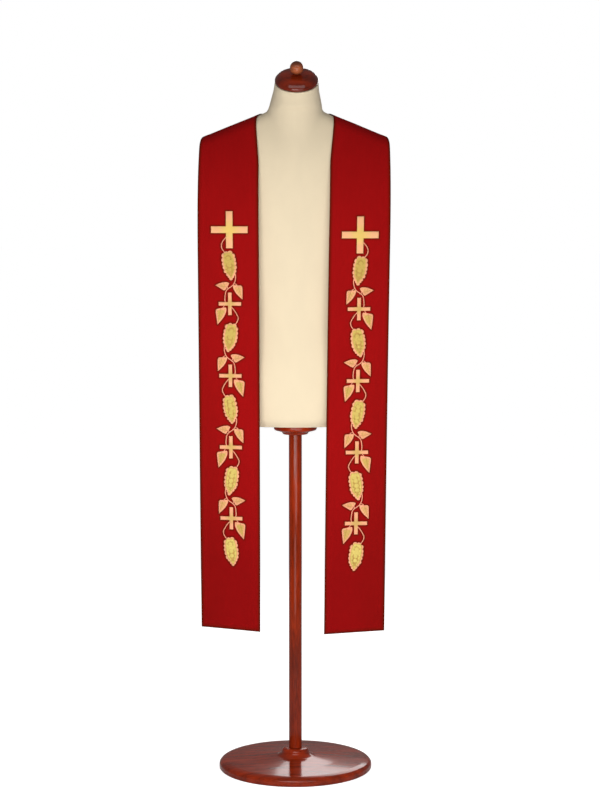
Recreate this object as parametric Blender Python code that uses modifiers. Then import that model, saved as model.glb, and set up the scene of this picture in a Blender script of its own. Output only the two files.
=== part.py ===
"""Clerical stole worn on a limbless dress form.

Metres, +Z up. The form stands on the floor at Z = 0 and looks along -Y. "Left" and "right" are the
wearer's own, so the left half of the stole lies at +X.

Each half of the stole is one straight strip. It is laid over a shoulder line that slopes down
outwards, so it hangs plumb in front and runs slantwise to the centre back, where it is mitred
against its twin. A point of the flat strip has two sizes: "down", from the shoulder line along the
strip (negative behind it), and "out", from the middle of the strip away from the neck.
"""

import math

import bpy
import numpy as np
from mathutils import Vector

GAP = 0.0003  # between neighbouring pieces
HALVINGS = 40  # steps of each search by halving
SMOOTH_BELOW = math.radians(40.0)  # edges that turn less than this are drawn smooth

# The line over each shoulder that the cloth lies across.
SHOULDER_SLOPE = math.radians(21.7)
APEX_HEIGHT = 1.6531  # where the two shoulder lines would meet over the neck, at the cloth's inside

# The cloth's fall from the shoulder line, seen from the side: over an arch until it makes the
# slope with the plumb line, then easing to plumb.
FRONT_FALL = {"arch": 0.050, "slope": math.radians(31.0), "ease": 0.250}
BACK_FALL = {"arch": 0.070, "slope": math.radians(42.0), "ease": 0.180}
FALL_LENGTH = 1.5
FALL_STEP = 0.001

# The strip that makes each half.
BAND_WIDTH = 0.1476
BAND_MIDDLE = 0.1497  # from the centre to the middle of the strip, along the shoulder line
CLOTH_THICKNESS = 0.002
NECK_HOLLOW = {"depth": 0.0100, "middle": -0.005, "reach": 0.150}  # cut from the inner edge
OUTER_SWING = 0.13  # how much further back the outer edge hangs, for each metre of width
SWING_LENGTH = 0.24
TOE_IN_CURVE = 0.55  # under 1, so most of the slant inwards is near the shoulder
ROWS_BEHIND = 14
ROWS_OVER = 18
ROWS_OVER_LENGTH = 0.36  # the length that the rows over the shoulder and chest take up
ROWS_OVER_SPREAD = 1.4  # above 1, so the rows lie closest at the shoulder line
ROWS_HANGING = 14
COLUMNS = 8

# "hem" is measured down the middle of the strip, and the inner corner hangs lower by the slant.
# "twist" is how far the hem end turns its outer edge back, in radians. "slip" and "beside" are how
# much lower and further out the embroidery sits.
HALVES = {
    "left": {
        "side": 1.0, "toe_in": 0.0205, "hem": 1.2683, "hem_slant": 0.0060, "twist": 0.0,
        "slip": 0.0125, "beside": 0.0012,
    },
    "right": {
        "side": -1.0, "toe_in": 0.0070, "hem": 1.2603, "hem_slant": 0.0035, "twist": 0.20,
        "slip": 0.0, "beside": -0.0030,
    },
}

# Embroidery: every motif is a thin raised patch of stitching.
STITCH_THICKNESS = 0.0009
STITCH_GAP = 0.0005
LARGE_CROSS = {"span": 0.0885, "bar": 0.0162, "cells": 3}
SMALL_CROSS = {"span": 0.0542, "bar": 0.0089, "cells": 2}
LARGE_CROSS_DOWN = 0.289
FIRST_BUNCH_BELOW = 0.0860
FIRST_CROSS_BELOW = 0.1775
REPEAT = 0.1735
BUNCHES = 5
BUNCH = {"length": 0.0715, "width": 0.0354, "lean": math.radians(8.0)}
# Half the width of a bunch at each share of its length, as a share of half its full width.
BUNCH_SIDE = (
    (0.00, 0.60),
    (0.07, 0.80),
    (0.18, 0.94),
    (0.34, 1.00),
    (0.52, 1.00),
    (0.67, 0.90),
    (0.78, 0.66),
    (0.89, 0.38),
    (1.00, 0.13),
)
# The leaves of one repeat, placed from its small cross. "turn" is the tip's turn from plumb, and
# "full" the side that bulges, to the right or the left of the way to the tip.
LEAVES = {
    "side": {"down": -0.0420, "out": 0.0181, "length": 0.0285, "width": 0.0204, "turn": 100.0, "full": 1.0},
    "upper": {"down": -0.0303, "out": -0.0240, "length": 0.0356, "width": 0.0212, "turn": -18.3, "full": 1.0},
    "lower": {"down": 0.0271, "out": 0.0256, "length": 0.0405, "width": 0.0248, "turn": 12.1, "full": -1.0},
}
# Half the width of a leaf on either side at each share of its length, as a share of its full width.
LEAF_MIDDLE = 0.42
FOOT_SLANT = 0.41  # how far back the full side of the foot reaches, for each metre of width
LEAF_FULL_SIDE = ((0.00, 0.40), (0.14, 0.57), (0.34, 0.55), (0.56, 0.42), (0.78, 0.21))
LEAF_STRAIGHT_SIDE = ((0.00, 0.34), (0.11, 0.42), (0.35, 0.35), (0.60, 0.23), (0.80, 0.12))

# The form's body, a ring at each height. "square" is the exponent of the ring's superellipse.
BODY_RINGS = (
    {"height": 0.862, "half_width": 0.138, "front": 0.080, "back": 0.088, "square": 2.2},
    {"height": 0.874, "half_width": 0.153, "front": 0.091, "back": 0.101, "square": 2.2},
    {"height": 0.905, "half_width": 0.165, "front": 0.098, "back": 0.111, "square": 2.2},
    {"height": 0.975, "half_width": 0.171, "front": 0.100, "back": 0.116, "square": 2.2},
    {"height": 1.100, "half_width": 0.152, "front": 0.088, "back": 0.094, "square": 2.2},
    {"height": 1.220, "half_width": 0.160, "front": 0.090, "back": 0.098, "square": 2.3},
    {"height": 1.340, "half_width": 0.178, "front": 0.093, "back": 0.106, "square": 2.4},
    {"height": 1.440, "half_width": 0.190, "front": 0.092, "back": 0.108, "square": 2.4},
    {"height": 1.520, "half_width": 0.198, "front": 0.090, "back": 0.106, "square": 2.4},
    {"height": 1.660, "half_width": 0.200, "front": 0.088, "back": 0.100, "square": 2.4},
)
BODY_HEIGHTS = (0.862, 0.868, 0.876, 0.890, 0.915)
BODY_STEP = 0.045
SHOULDERS_FROM = 1.400
SHOULDERS_TO = 1.632
SHOULDER_STEP = 0.0135
BODY_POINTS = 36
SEAT_GAP = 0.0009  # under the cloth, along the shoulder line
FALL_INSET = 0.05  # how much shallower than the cloth's fall the shoulders are
WIDEST = 1.0  # no ring of the body reaches further from the axis
ROUNDING = 9.0  # the higher, the sharper the rounded end of the shoulder
FILLET = 14.0  # the higher, the sharper the hollow at the neck's root

# The neck leans forward as it rises, up to the slanting face that the cap closes.
NECK_RINGS = (
    {"height": 1.500, "forward": 0.000, "tilt": 0.0, "radius": 0.0680},
    {"height": 1.600, "forward": 0.003, "tilt": 0.0, "radius": 0.0675},
    {"height": 1.632, "forward": 0.008, "tilt": 4.0, "radius": 0.0655},
    {"height": 1.652, "forward": 0.017, "tilt": 13.0, "radius": 0.0610},
    {"height": 1.674, "forward": 0.028, "tilt": 23.0, "radius": 0.0555},
    {"height": 1.694, "forward": 0.039, "tilt": 31.0, "radius": 0.0528},
)
NECK_SIDE_LEAN = 0.09  # towards the left, for each metre forward
NECK_HEIGHTS = (1.642, 1.652, 1.663, 1.674, 1.685, 1.694)

# Turned wood: outlines of (radius, height above the piece's underside), from the top down.
CAP_OUTLINE = (
    (0.0, 0.0235), (0.016, 0.0229), (0.031, 0.0211), (0.041, 0.0188), (0.0458, 0.0164),
    (0.0517, 0.0096), (0.0530, 0.0062), (0.0522, 0.0022), (0.0495, 0.0), (0.0, 0.0),
)
KNOB = {"radius": 0.0164, "centre": 0.0152}  # the ball is cut flat where it stands on the cap
KNOB_POINTS = 8
SOCKET_OUTLINE = (
    (0.0, 0.024), (0.050, 0.024), (0.053, 0.021), (0.053, 0.013), (0.050, 0.010),
    (0.034, 0.006), (0.030, 0.0), (0.0, 0.0),
)
POLE_RADIUS = 0.016
BASE_OUTLINE = (
    (0.0, 0.050), (0.028, 0.050), (0.033, 0.046), (0.034, 0.038), (0.046, 0.031),
    (0.110, 0.026), (0.172, 0.023), (0.184, 0.020), (0.190, 0.014), (0.190, 0.003),
    (0.187, 0.0), (0.0, 0.0),
)
TURNED_STEPS = 28
ON_AXIS = 0.00005  # points this near the axis of a turned piece are made one

FINISHES = {
    "red_cloth": {"color": (0.36, 0.006, 0.010), "roughness": 0.85},
    "gold_thread": {"color": (0.76, 0.52, 0.18), "roughness": 0.50},
    "cream_jersey": {"color": (0.78, 0.70, 0.55), "roughness": 0.90},
    "red_wood": {"color": (0.16, 0.025, 0.012), "roughness": 0.22},
    "knob_wood": {"color": (0.34, 0.085, 0.030), "roughness": 0.25},
}


# ---- curves and places ----


def fall_table(arch, slope, ease):
    """(length along the cloth, depth, drop) of one fall, from the shoulder line down."""
    length = np.arange(0.0, FALL_LENGTH, FALL_STEP)
    arch_length = arch * (math.pi / 2 - slope)
    over_arch = math.pi / 2 - length / arch
    easing = slope * np.clip(1.0 - (length - arch_length) / ease, 0.0, 1.0)
    from_plumb = np.where(length < arch_length, over_arch, easing)
    middle = (from_plumb[1:] + from_plumb[:-1]) / 2
    depth = np.concatenate([[0.0], np.cumsum(np.sin(middle)) * FALL_STEP])
    drop = np.concatenate([[0.0], np.cumsum(np.cos(middle)) * FALL_STEP])
    return length, depth, drop


FRONT_TABLE = fall_table(**FRONT_FALL)
BACK_TABLE = fall_table(**BACK_FALL)


def smooth_step(value):
    value = min(max(value, 0.0), 1.0)
    return value * value * (3.0 - 2.0 * value)


def fall_at(turn, lift):
    """(y, fall) at a length over the arch, behind it if negative, lifted off the cloth's inside."""
    length, depth, drop = FRONT_TABLE if turn > 0 else BACK_TABLE
    at = abs(turn)
    near, far = max(at - FALL_STEP, 0.0), at + FALL_STEP
    run = np.interp(far, length, depth) - np.interp(near, length, depth)
    rise = np.interp(far, length, drop) - np.interp(near, length, drop)
    slant = math.atan2(rise, run)
    y = np.interp(at, length, depth) + lift * math.sin(slant)
    fall = np.interp(at, length, drop) - lift * math.cos(slant)
    return (-y if turn > 0 else y), fall


def strip_point(half, down, out, lift=0.0):
    """Where a point of the flat strip lies when the stole is worn."""
    turn = down * math.cos(SHOULDER_SLOPE) - out * math.sin(SHOULDER_SLOPE)
    y, fall = fall_at(turn, lift)
    along = BAND_MIDDLE / math.cos(SHOULDER_SLOPE)
    along += down * math.sin(SHOULDER_SLOPE) + out * math.cos(SHOULDER_SLOPE)
    x = along * math.cos(SHOULDER_SLOPE) - fall * math.sin(SHOULDER_SLOPE)
    z = APEX_HEIGHT - along * math.sin(SHOULDER_SLOPE) - fall * math.cos(SHOULDER_SLOPE)
    y += OUTER_SWING * (out + BAND_WIDTH / 2) * smooth_step(turn / SWING_LENGTH)
    hung = max(down, 0.0) / half["hem"]
    twist = half["twist"] * hung**2
    y += out * math.sin(twist)
    x -= out * (1.0 - math.cos(twist))
    x -= half["toe_in"] * hung**TOE_IN_CURVE
    return Vector((half["side"] * x, y, z))


def inner_edge(down):
    """Size out of the strip's inner edge, which has a shallow hollow where it passes the neck."""
    share = 1.0 - abs(down - NECK_HOLLOW["middle"]) / NECK_HOLLOW["reach"]
    return -BAND_WIDTH / 2 + NECK_HOLLOW["depth"] * smooth_step(share)


def seam_down(half, share):
    """Size down where a lengthwise thread of the strip meets the seam at the centre back."""
    low, high = -FALL_LENGTH / 2, 0.0
    for _ in range(HALVINGS):
        down = (low + high) / 2
        beyond = half["side"] * strip_point(half, down, across(down, share)).x - GAP / 2
        low, high = (low, down) if beyond > 0 else (down, high)
    return high


def across(down, share):
    """Size out at a share of the strip's width, 0 at its inner edge and 1 at its outer edge."""
    edge = inner_edge(down)
    return edge + share * (BAND_WIDTH / 2 - edge)


# ---- meshes ----


def grid_object(name, rows, finish, collection):
    """An open surface through rows of points, all of one length."""
    width = len(rows[0])
    faces = [
        (row * width + column, (row + 1) * width + column,
         (row + 1) * width + column + 1, row * width + column + 1)
        for row in range(len(rows) - 1)
        for column in range(width - 1)
    ]
    return faced_object(name, [point for row in rows for point in row], faces, finish, collection)


def faced_object(name, points, faces, finish, collection):
    mesh = bpy.data.meshes.new(name)
    mesh.from_pydata([tuple(point) for point in points], [], faces)
    mesh.materials.append(finish)
    piece = bpy.data.objects.new(name, mesh)
    collection.objects.link(piece)
    return piece


def thicken(piece, thickness):
    """Give an open surface a wall on the side that its faces look to."""
    wall = piece.modifiers.new("wall", "SOLIDIFY")
    wall.thickness = thickness
    wall.offset = 1.0
    wall.use_even_offset = True


def shade(piece):
    piece.data.shade_smooth()
    piece.data.set_sharp_from_angle(angle=SMOOTH_BELOW)


def finish_material(name, color, roughness):
    material = bpy.data.materials.new(name)
    material.use_nodes = True
    shader = material.node_tree.nodes["Principled BSDF"]
    shader.inputs["Base Color"].default_value = (*color, 1.0)
    shader.inputs["Roughness"].default_value = roughness
    shader.inputs["Metallic"].default_value = 0.0
    return material


# ---- the stole ----


def band_rows(half):
    """Rows of points across the strip, from the seam at the back to the hem in front."""
    shares = np.linspace(0.0, 1.0, COLUMNS + 1)
    crest = [math.tan(SHOULDER_SLOPE) * across(0.0, share) for share in shares]
    rows = []
    for step in range(ROWS_BEHIND):
        part = step / ROWS_BEHIND
        downs = [
            seam_down(half, share) * (1.0 - part) + start * part
            for share, start in zip(shares, crest)
        ]
        rows.append(downs)
    for step in range(ROWS_OVER):
        turn = ROWS_OVER_LENGTH * (step / ROWS_OVER) ** ROWS_OVER_SPREAD
        rows.append([start + turn / math.cos(SHOULDER_SLOPE) for start in crest])
    hems = [half["hem"] + half["hem_slant"] * (0.5 - share) for share in shares]
    for step in range(ROWS_HANGING + 1):
        part = step / ROWS_HANGING
        first = ROWS_OVER_LENGTH / math.cos(SHOULDER_SLOPE)
        rows.append([
            (start + first) * (1.0 - part) + hem * part for start, hem in zip(crest, hems)
        ])
    return [
        [strip_point(half, down, across(down, share)) for down, share in zip(downs, shares)]
        for downs in rows
    ]


def add_band(name, half, finish, collection):
    rows = band_rows(half)
    if half["side"] < 0:
        rows = [row[::-1] for row in rows]
    band = grid_object(f"stole_half_{name}", rows, finish, collection)
    thicken(band, CLOTH_THICKNESS)
    shade(band)


def motif_point(half, centre, local):
    """A point of a motif, from its centre on the strip: local and centre are (down, out)."""
    lift = CLOTH_THICKNESS + STITCH_GAP
    return strip_point(half, centre[0] + local[0], centre[1] + local[1] + half["beside"], lift)


def add_patch(name, half, points, faces, finish, collection):
    """A raised patch of stitching on the strip, its faces looking away from the wearer."""
    if half["side"] < 0:
        faces = [face[::-1] for face in faces]
    patch = faced_object(name, points, faces, finish, collection)
    thicken(patch, STITCH_THICKNESS)
    shade(patch)


def add_cross(name, half, centre, cross, finish, collection):
    """Two bars of one length that share their middle square."""
    arm = np.linspace(cross["bar"] / 2, cross["span"] / 2, cross["cells"] + 1)
    lines = [*(-arm[::-1]), *arm]
    middle = cross["cells"]
    last = len(lines) - 1
    cells = [
        (row, column)
        for row in range(last)
        for column in range(last)
        if middle in (row, column)
    ]
    used = sorted({(r + i, c + j) for r, c in cells for i in (0, 1) for j in (0, 1)})
    index = {corner: number for number, corner in enumerate(used)}
    points = [motif_point(half, centre, (lines[r], lines[c])) for r, c in used]
    faces = [
        (index[r, c], index[r + 1, c], index[r + 1, c + 1], index[r, c + 1]) for r, c in cells
    ]
    add_patch(name, half, points, faces, finish, collection)


def add_round_patch(name, half, centre, outline, finish, collection):
    """A patch inside an outline of (down, out) points, with one ring of points half way in."""
    count = len(outline)
    inner = [(down / 2, out / 2) for down, out in outline]
    points = [motif_point(half, centre, local) for local in [(0.0, 0.0), *inner, *outline]]
    faces = []
    for number in range(count):
        following = (number + 1) % count
        faces.append((0, 1 + number, 1 + following))
        faces.append((1 + number, 1 + count + number, 1 + count + following, 1 + following))
    add_patch(name, half, points, faces, finish, collection)


def turned(down, out, angle):
    return (
        down * math.cos(angle) - out * math.sin(angle),
        down * math.sin(angle) + out * math.cos(angle),
    )


def add_bunch(name, half, centre, lean, finish, collection):
    """A bunch of grapes: broad shoulders above, and a narrow blunt tip below."""
    length, width = BUNCH["length"], BUNCH["width"]
    right = [((share - 0.5) * length, side * width / 2) for share, side in BUNCH_SIDE]
    left = [(down, -out) for down, out in reversed(right)]
    outline = [turned(down, out, lean) for down, out in [*right, *left]]
    add_round_patch(name, half, centre, outline[::-1], finish, collection)


def add_leaf(name, half, centre, leaf, swing, finish, collection):
    """A leaf with a slanting foot, one full side and one nearly straight side that ends in its tip."""
    sides = (LEAF_FULL_SIDE, LEAF_STRAIGHT_SIDE)
    right, left = sides if leaf["full"] > 0 else sides[::-1]
    length, width = leaf["length"], leaf["width"]
    outline = [(1.0, 0.0), *reversed(right), *((share, -side) for share, side in left)]
    angle = math.radians(leaf["turn"])
    points = []
    for share, side in outline:
        slant = FOOT_SLANT * leaf["full"] * side * width * (1.0 - share) ** 2
        down, out = turned((share - LEAF_MIDDLE) * length - slant, side * width, angle)
        points.append((down, swing * out))
    if swing < 0:
        points.reverse()
    add_round_patch(name, half, centre, points, finish, collection)


def add_embroidery(name, half, finish, collection):
    """One large cross, then bunches of grapes with a small cross and three leaves between them."""
    top = LARGE_CROSS_DOWN + half["slip"]
    add_cross(f"large_cross_{name}", half, (top, 0.0), LARGE_CROSS, finish, collection)
    for number in range(BUNCHES):
        swing = -1.0 if number % 2 else 1.0
        down = top + FIRST_BUNCH_BELOW + number * REPEAT
        lean = -swing * BUNCH["lean"]
        add_bunch(
            f"grape_bunch_{name}_{number + 1}", half, (down, 0.0), lean, finish, collection
        )
    for number in range(BUNCHES - 1):
        swing = -1.0 if number % 2 else 1.0
        down = top + FIRST_CROSS_BELOW + number * REPEAT
        add_cross(
            f"small_cross_{name}_{number + 1}", half, (down, 0.0), SMALL_CROSS, finish, collection
        )
        for kind, leaf in LEAVES.items():
            centre = (down + leaf["down"], swing * leaf["out"])
            label = f"leaf_{kind}_{name}_{number + 1}"
            add_leaf(label, half, centre, leaf, swing, finish, collection)


# ---- the dress form ----


def between(rows, height, column):
    """A column of a table at any height, on a smooth curve through its rows."""
    heights = [row["height"] for row in rows]
    values = [row[column] for row in rows]
    slopes = np.gradient(values, heights)
    after = min(max(int(np.searchsorted(heights, height)), 1), len(rows) - 1)
    low, high = heights[after - 1], heights[after]
    span = high - low
    share = min(max((height - low) / span, 0.0), 1.0)
    start = values[after - 1] * (1 + 2 * share) * (1 - share) ** 2
    start += slopes[after - 1] * span * share * (1 - share) ** 2
    end = values[after] * share**2 * (3 - 2 * share)
    end -= slopes[after] * span * share**2 * (1 - share)
    return float(start + end)


def body_reach(height, angle):
    """How far the body's ring at this height reaches from the axis."""
    along, aside = abs(math.cos(angle)), abs(math.sin(angle))
    depth = between(BODY_RINGS, height, "back" if math.sin(angle) > 0 else "front")
    half_width = between(BODY_RINGS, height, "half_width")
    square = between(BODY_RINGS, height, "square")
    return ((along / half_width) ** square + (aside / depth) ** square) ** (-1.0 / square)


def shoulder_reach(height, angle):
    """How far this height lies under the shoulders, which fall like the cloth, only shallower."""
    _, depth, drop = BACK_TABLE if math.sin(angle) > 0 else FRONT_TABLE
    low, high = 0.0, WIDEST
    for _ in range(HALVINGS):
        reach = (low + high) / 2
        ridge = APEX_HEIGHT - SEAT_GAP - abs(reach * math.cos(angle)) * math.tan(SHOULDER_SLOPE)
        fall = (ridge - height) * math.cos(SHOULDER_SLOPE)
        room = np.interp(fall, drop, depth) * (1.0 - FALL_INSET) if fall > 0 else -1.0
        if abs(reach * math.sin(angle)) < room:
            low = reach
        else:
            high = reach
    return low


def neck_reach(height, angle):
    """How far the neck's ring at this height reaches from the form's axis."""
    radius = between(NECK_RINGS, height, "radius")
    forward = between(NECK_RINGS, height, "forward")
    aside = forward * math.cos(angle)
    return math.sqrt(radius**2 - aside**2) - forward * math.sin(angle)


def torso_ring(height):
    ring = []
    for number in range(BODY_POINTS):
        angle = 2 * math.pi * number / BODY_POINTS
        under = shoulder_reach(height, angle)
        reach = (body_reach(height, angle) ** -ROUNDING + under**-ROUNDING) ** (-1.0 / ROUNDING)
        reach = (reach**FILLET + neck_reach(height, angle) ** FILLET) ** (1.0 / FILLET)
        ring.append(Vector((reach * math.cos(angle), reach * math.sin(angle), height)))
    return ring


def neck_ring(height):
    tilt = math.radians(between(NECK_RINGS, height, "tilt"))
    radius = between(NECK_RINGS, height, "radius")
    forward = between(NECK_RINGS, height, "forward")
    ring = []
    for number in range(BODY_POINTS):
        angle = 2 * math.pi * number / BODY_POINTS
        behind = radius * math.sin(angle)
        x = radius * math.cos(angle) + NECK_SIDE_LEAN * forward
        y = behind * math.cos(tilt) - forward
        ring.append(Vector((x, y, height + behind * math.sin(tilt))))
    return ring


def add_body(finish, collection):
    """The stuffed body and neck, one loft from the flat underside to the slanting top."""
    heights = [*BODY_HEIGHTS]
    heights += list(np.arange(BODY_HEIGHTS[-1] + BODY_STEP, SHOULDERS_FROM, BODY_STEP))
    steps = round((SHOULDERS_TO - SHOULDERS_FROM) / SHOULDER_STEP)
    heights += list(np.linspace(SHOULDERS_FROM, SHOULDERS_TO, steps + 1))
    rings = [torso_ring(float(height)) for height in heights]
    rings += [neck_ring(height) for height in NECK_HEIGHTS]
    points = [point for ring in rings for point in ring]
    faces = [tuple(range(BODY_POINTS))[::-1]]
    for row in range(len(rings) - 1):
        for number in range(BODY_POINTS):
            here, after = row * BODY_POINTS + number, row * BODY_POINTS + (number + 1) % BODY_POINTS
            faces.append((here, after, after + BODY_POINTS, here + BODY_POINTS))
    last = (len(rings) - 1) * BODY_POINTS
    faces.append(tuple(range(last, last + BODY_POINTS)))
    body = faced_object("form_body", points, faces, finish, collection)
    shade(body)


def add_turned(name, outline, finish, collection):
    """A turned piece with its underside at its origin, from an outline from the top down."""
    mesh = bpy.data.meshes.new(name)
    edges = [(number, number + 1) for number in range(len(outline) - 1)]
    mesh.from_pydata([(radius, 0.0, height) for radius, height in outline], edges, [])
    mesh.materials.append(finish)
    piece = bpy.data.objects.new(name, mesh)
    collection.objects.link(piece)
    screw = piece.modifiers.new("turning", "SCREW")
    screw.steps = TURNED_STEPS
    screw.render_steps = TURNED_STEPS
    screw.use_merge_vertices = True
    screw.merge_threshold = ON_AXIS
    screw.use_smooth_shade = True
    return piece


def knob_outline():
    """A ball that stands on a small flat."""
    radius, centre = KNOB["radius"], KNOB["centre"]
    last = math.pi - math.acos(centre / radius)
    ball = [
        (radius * math.sin(last * number / KNOB_POINTS),
         centre + radius * math.cos(last * number / KNOB_POINTS))
        for number in range(KNOB_POINTS + 1)
    ]
    return [*ball, (0.0, 0.0)]


def add_form(finishes, collection):
    add_body(finishes["cream_jersey"], collection)
    top = NECK_RINGS[-1]
    tilt = math.radians(top["tilt"])
    axis = Vector((0.0, -math.sin(tilt), math.cos(tilt)))
    seat = Vector((NECK_SIDE_LEAN * top["forward"], -top["forward"], top["height"])) + GAP * axis
    cap = add_turned("neck_cap", CAP_OUTLINE, finishes["red_wood"], collection)
    cap.location = seat
    cap.rotation_euler.x = tilt
    knob = add_turned("cap_knob", knob_outline(), finishes["knob_wood"], collection)
    knob.location = seat + (CAP_OUTLINE[0][1] + GAP) * axis
    knob.rotation_euler.x = tilt

    add_turned("stand_base", BASE_OUTLINE, finishes["red_wood"], collection)
    socket = add_turned("pole_socket", SOCKET_OUTLINE, finishes["red_wood"], collection)
    socket.location.z = BODY_HEIGHTS[0] - GAP - SOCKET_OUTLINE[0][1]
    foot = BASE_OUTLINE[0][1] + GAP
    length = socket.location.z - GAP - foot
    outline = ((0.0, length), (POLE_RADIUS, length), (POLE_RADIUS, 0.0), (0.0, 0.0))
    pole = add_turned("stand_pole", outline, finishes["red_wood"], collection)
    pole.location.z = foot


def main():
    for old in list(bpy.data.objects):
        bpy.data.objects.remove(old, do_unlink=True)
    collection = bpy.data.collections.new("clerical_stole_on_dress_form")
    bpy.context.scene.collection.children.link(collection)
    finishes = {name: finish_material(name, **values) for name, values in FINISHES.items()}
    for name, half in HALVES.items():
        add_band(name, half, finishes["red_cloth"], collection)
        add_embroidery(name, half, finishes["gold_thread"], collection)
    add_form(finishes, collection)


if __name__ == "__main__":
    main()
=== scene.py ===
"""The finished look of a clerical stole worn on a limbless dress form.

Metres, +Z up. The form looks along -Y, and "left" and "right" are the wearer's own, so the left
half of the stole hangs at +X. Each half is one straight strip of cloth, laid over a sloping
shoulder line. A point of the flat strip has two sizes: "down", from the shoulder line along the
strip (negative behind it), and "out", from the middle of the strip away from the neck. "Lift" is
the height over the cloth's inside, and "shade" is painted shade that a mesh carries: 1 in the
open and 0 where it is darkest.
"""

from __future__ import annotations

import logging
import math
from collections.abc import Callable, Iterable, Sequence
from dataclasses import astuple, dataclass, field, replace
from enum import Enum

import bmesh
import bpy
import numpy as np
from mathutils import Matrix, Vector

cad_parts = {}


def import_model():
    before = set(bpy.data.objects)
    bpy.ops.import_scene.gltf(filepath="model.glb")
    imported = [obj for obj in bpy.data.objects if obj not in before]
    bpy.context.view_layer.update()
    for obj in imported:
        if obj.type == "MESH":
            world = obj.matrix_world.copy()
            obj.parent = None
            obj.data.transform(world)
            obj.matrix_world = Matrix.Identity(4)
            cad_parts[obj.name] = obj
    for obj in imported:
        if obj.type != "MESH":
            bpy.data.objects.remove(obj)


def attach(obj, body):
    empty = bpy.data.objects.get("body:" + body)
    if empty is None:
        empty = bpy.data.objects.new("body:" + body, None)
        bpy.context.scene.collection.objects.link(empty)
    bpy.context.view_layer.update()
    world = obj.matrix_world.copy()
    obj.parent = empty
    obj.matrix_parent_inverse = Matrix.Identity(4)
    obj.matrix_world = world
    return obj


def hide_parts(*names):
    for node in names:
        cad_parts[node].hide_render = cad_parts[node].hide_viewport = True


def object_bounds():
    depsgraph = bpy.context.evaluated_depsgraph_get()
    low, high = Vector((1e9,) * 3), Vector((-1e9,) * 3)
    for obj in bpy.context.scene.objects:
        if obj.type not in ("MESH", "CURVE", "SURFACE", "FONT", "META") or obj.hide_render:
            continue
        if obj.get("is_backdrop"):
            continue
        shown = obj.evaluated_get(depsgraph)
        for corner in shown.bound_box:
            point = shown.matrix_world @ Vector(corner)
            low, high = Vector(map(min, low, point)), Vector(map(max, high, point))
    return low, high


LOG = logging.getLogger("stole")
Array = np.ndarray
Material = bpy.types.Material
Object = bpy.types.Object
Socket = bpy.types.NodeSocket
Face = tuple[int, ...]
Numbers = tuple[float, ...]
Place = tuple[float, float]
Table = tuple[Place, ...]
Triple = tuple[float, float, float]
Colour = Triple
BODY = "root"
WHITE = (1.0, 1.0, 1.0)
BLACK = (0.0, 0.0, 0.0)
TURN = 2 * math.pi
TINY = 1e-9
HALVINGS = 40
CURVE_STEPS = 24


class Side(Enum):
    """The wearer's own side, with the sign of X there."""

    LEFT = 1.0
    RIGHT = -1.0

    @property
    def label(self) -> str:
        """The side's name as the nodes have it."""
        return self.name.lower()


class Slot(Enum):
    """Names of the material slots."""

    RED_CLOTH = "red_cloth"
    GOLD_THREAD = "gold_thread"
    CREAM_JERSEY = "cream_jersey"
    RED_WOOD = "red_wood"
    KNOB_WOOD = "knob_wood"


# ---- curves ----


def smooth_step(value: Array, start: float, over: float) -> Array:
    """0 up to the start, 1 from a size beyond it on, and an even S between."""
    share = np.clip((value - start) / over, 0.0, 1.0)
    return share * share * (3.0 - 2.0 * share)


def running(steps: Array) -> Array:
    """Running sums of steps, from 0."""
    return np.concatenate([[0.0], np.cumsum(steps)])


def halved(low: Array, high: Array, test: Callable[[Array], Array]) -> tuple[Array, Array]:
    """Closes in on the sizes where a test stops holding.

    Args:
        low: sizes at which it holds.
        high: sizes at which it doesn't.
        test: tells at which of some sizes it holds.

    Returns:
        The last sizes found at which it holds, and the first at which it doesn't.
    """
    for _ in range(HALVINGS):
        middle = (low + high) / 2
        holds = test(middle)
        low, high = np.where(holds, middle, low), np.where(holds, high, middle)
    return low, high


def turned(down: Array, out: Array, angle: float) -> tuple[Array, Array]:
    """The same points, turned on the flat strip by an angle from down towards out."""
    cos, sin = math.cos(angle), math.sin(angle)
    return down * cos - out * sin, down * sin + out * cos


def curve_through(points: Sequence[Place], spacing: float) -> Array:
    """Evenly spaced points on a smooth curve through the points given.

    Args:
        points: the curve's own points, in order.
        spacing: about how far apart the results lie.

    Returns:
        An array of (down, out) rows.
    """
    knots = np.array(points, float)
    padded = np.vstack([2 * knots[0] - knots[1], knots, 2 * knots[-1] - knots[-2]])
    share = np.linspace(0.0, 1.0, CURVE_STEPS, endpoint=False)[:, None]
    runs = []
    for a, b, c, d in zip(padded, padded[1:], padded[2:], padded[3:]):
        bend = (2 * a - 5 * b + 4 * c - d) * share**2 + (3 * b - a - 3 * c + d) * share**3
        runs.append(b + 0.5 * ((c - a) * share + bend))
    line = np.vstack([*runs, knots[-1:]])
    gone = running(np.linalg.norm(np.diff(line, axis=0), axis=1))
    stops = np.linspace(0.0, gone[-1], max(int(gone[-1] / spacing), 2) + 1)
    return np.column_stack([np.interp(stops, gone, line[:, column]) for column in (0, 1)])


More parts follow.
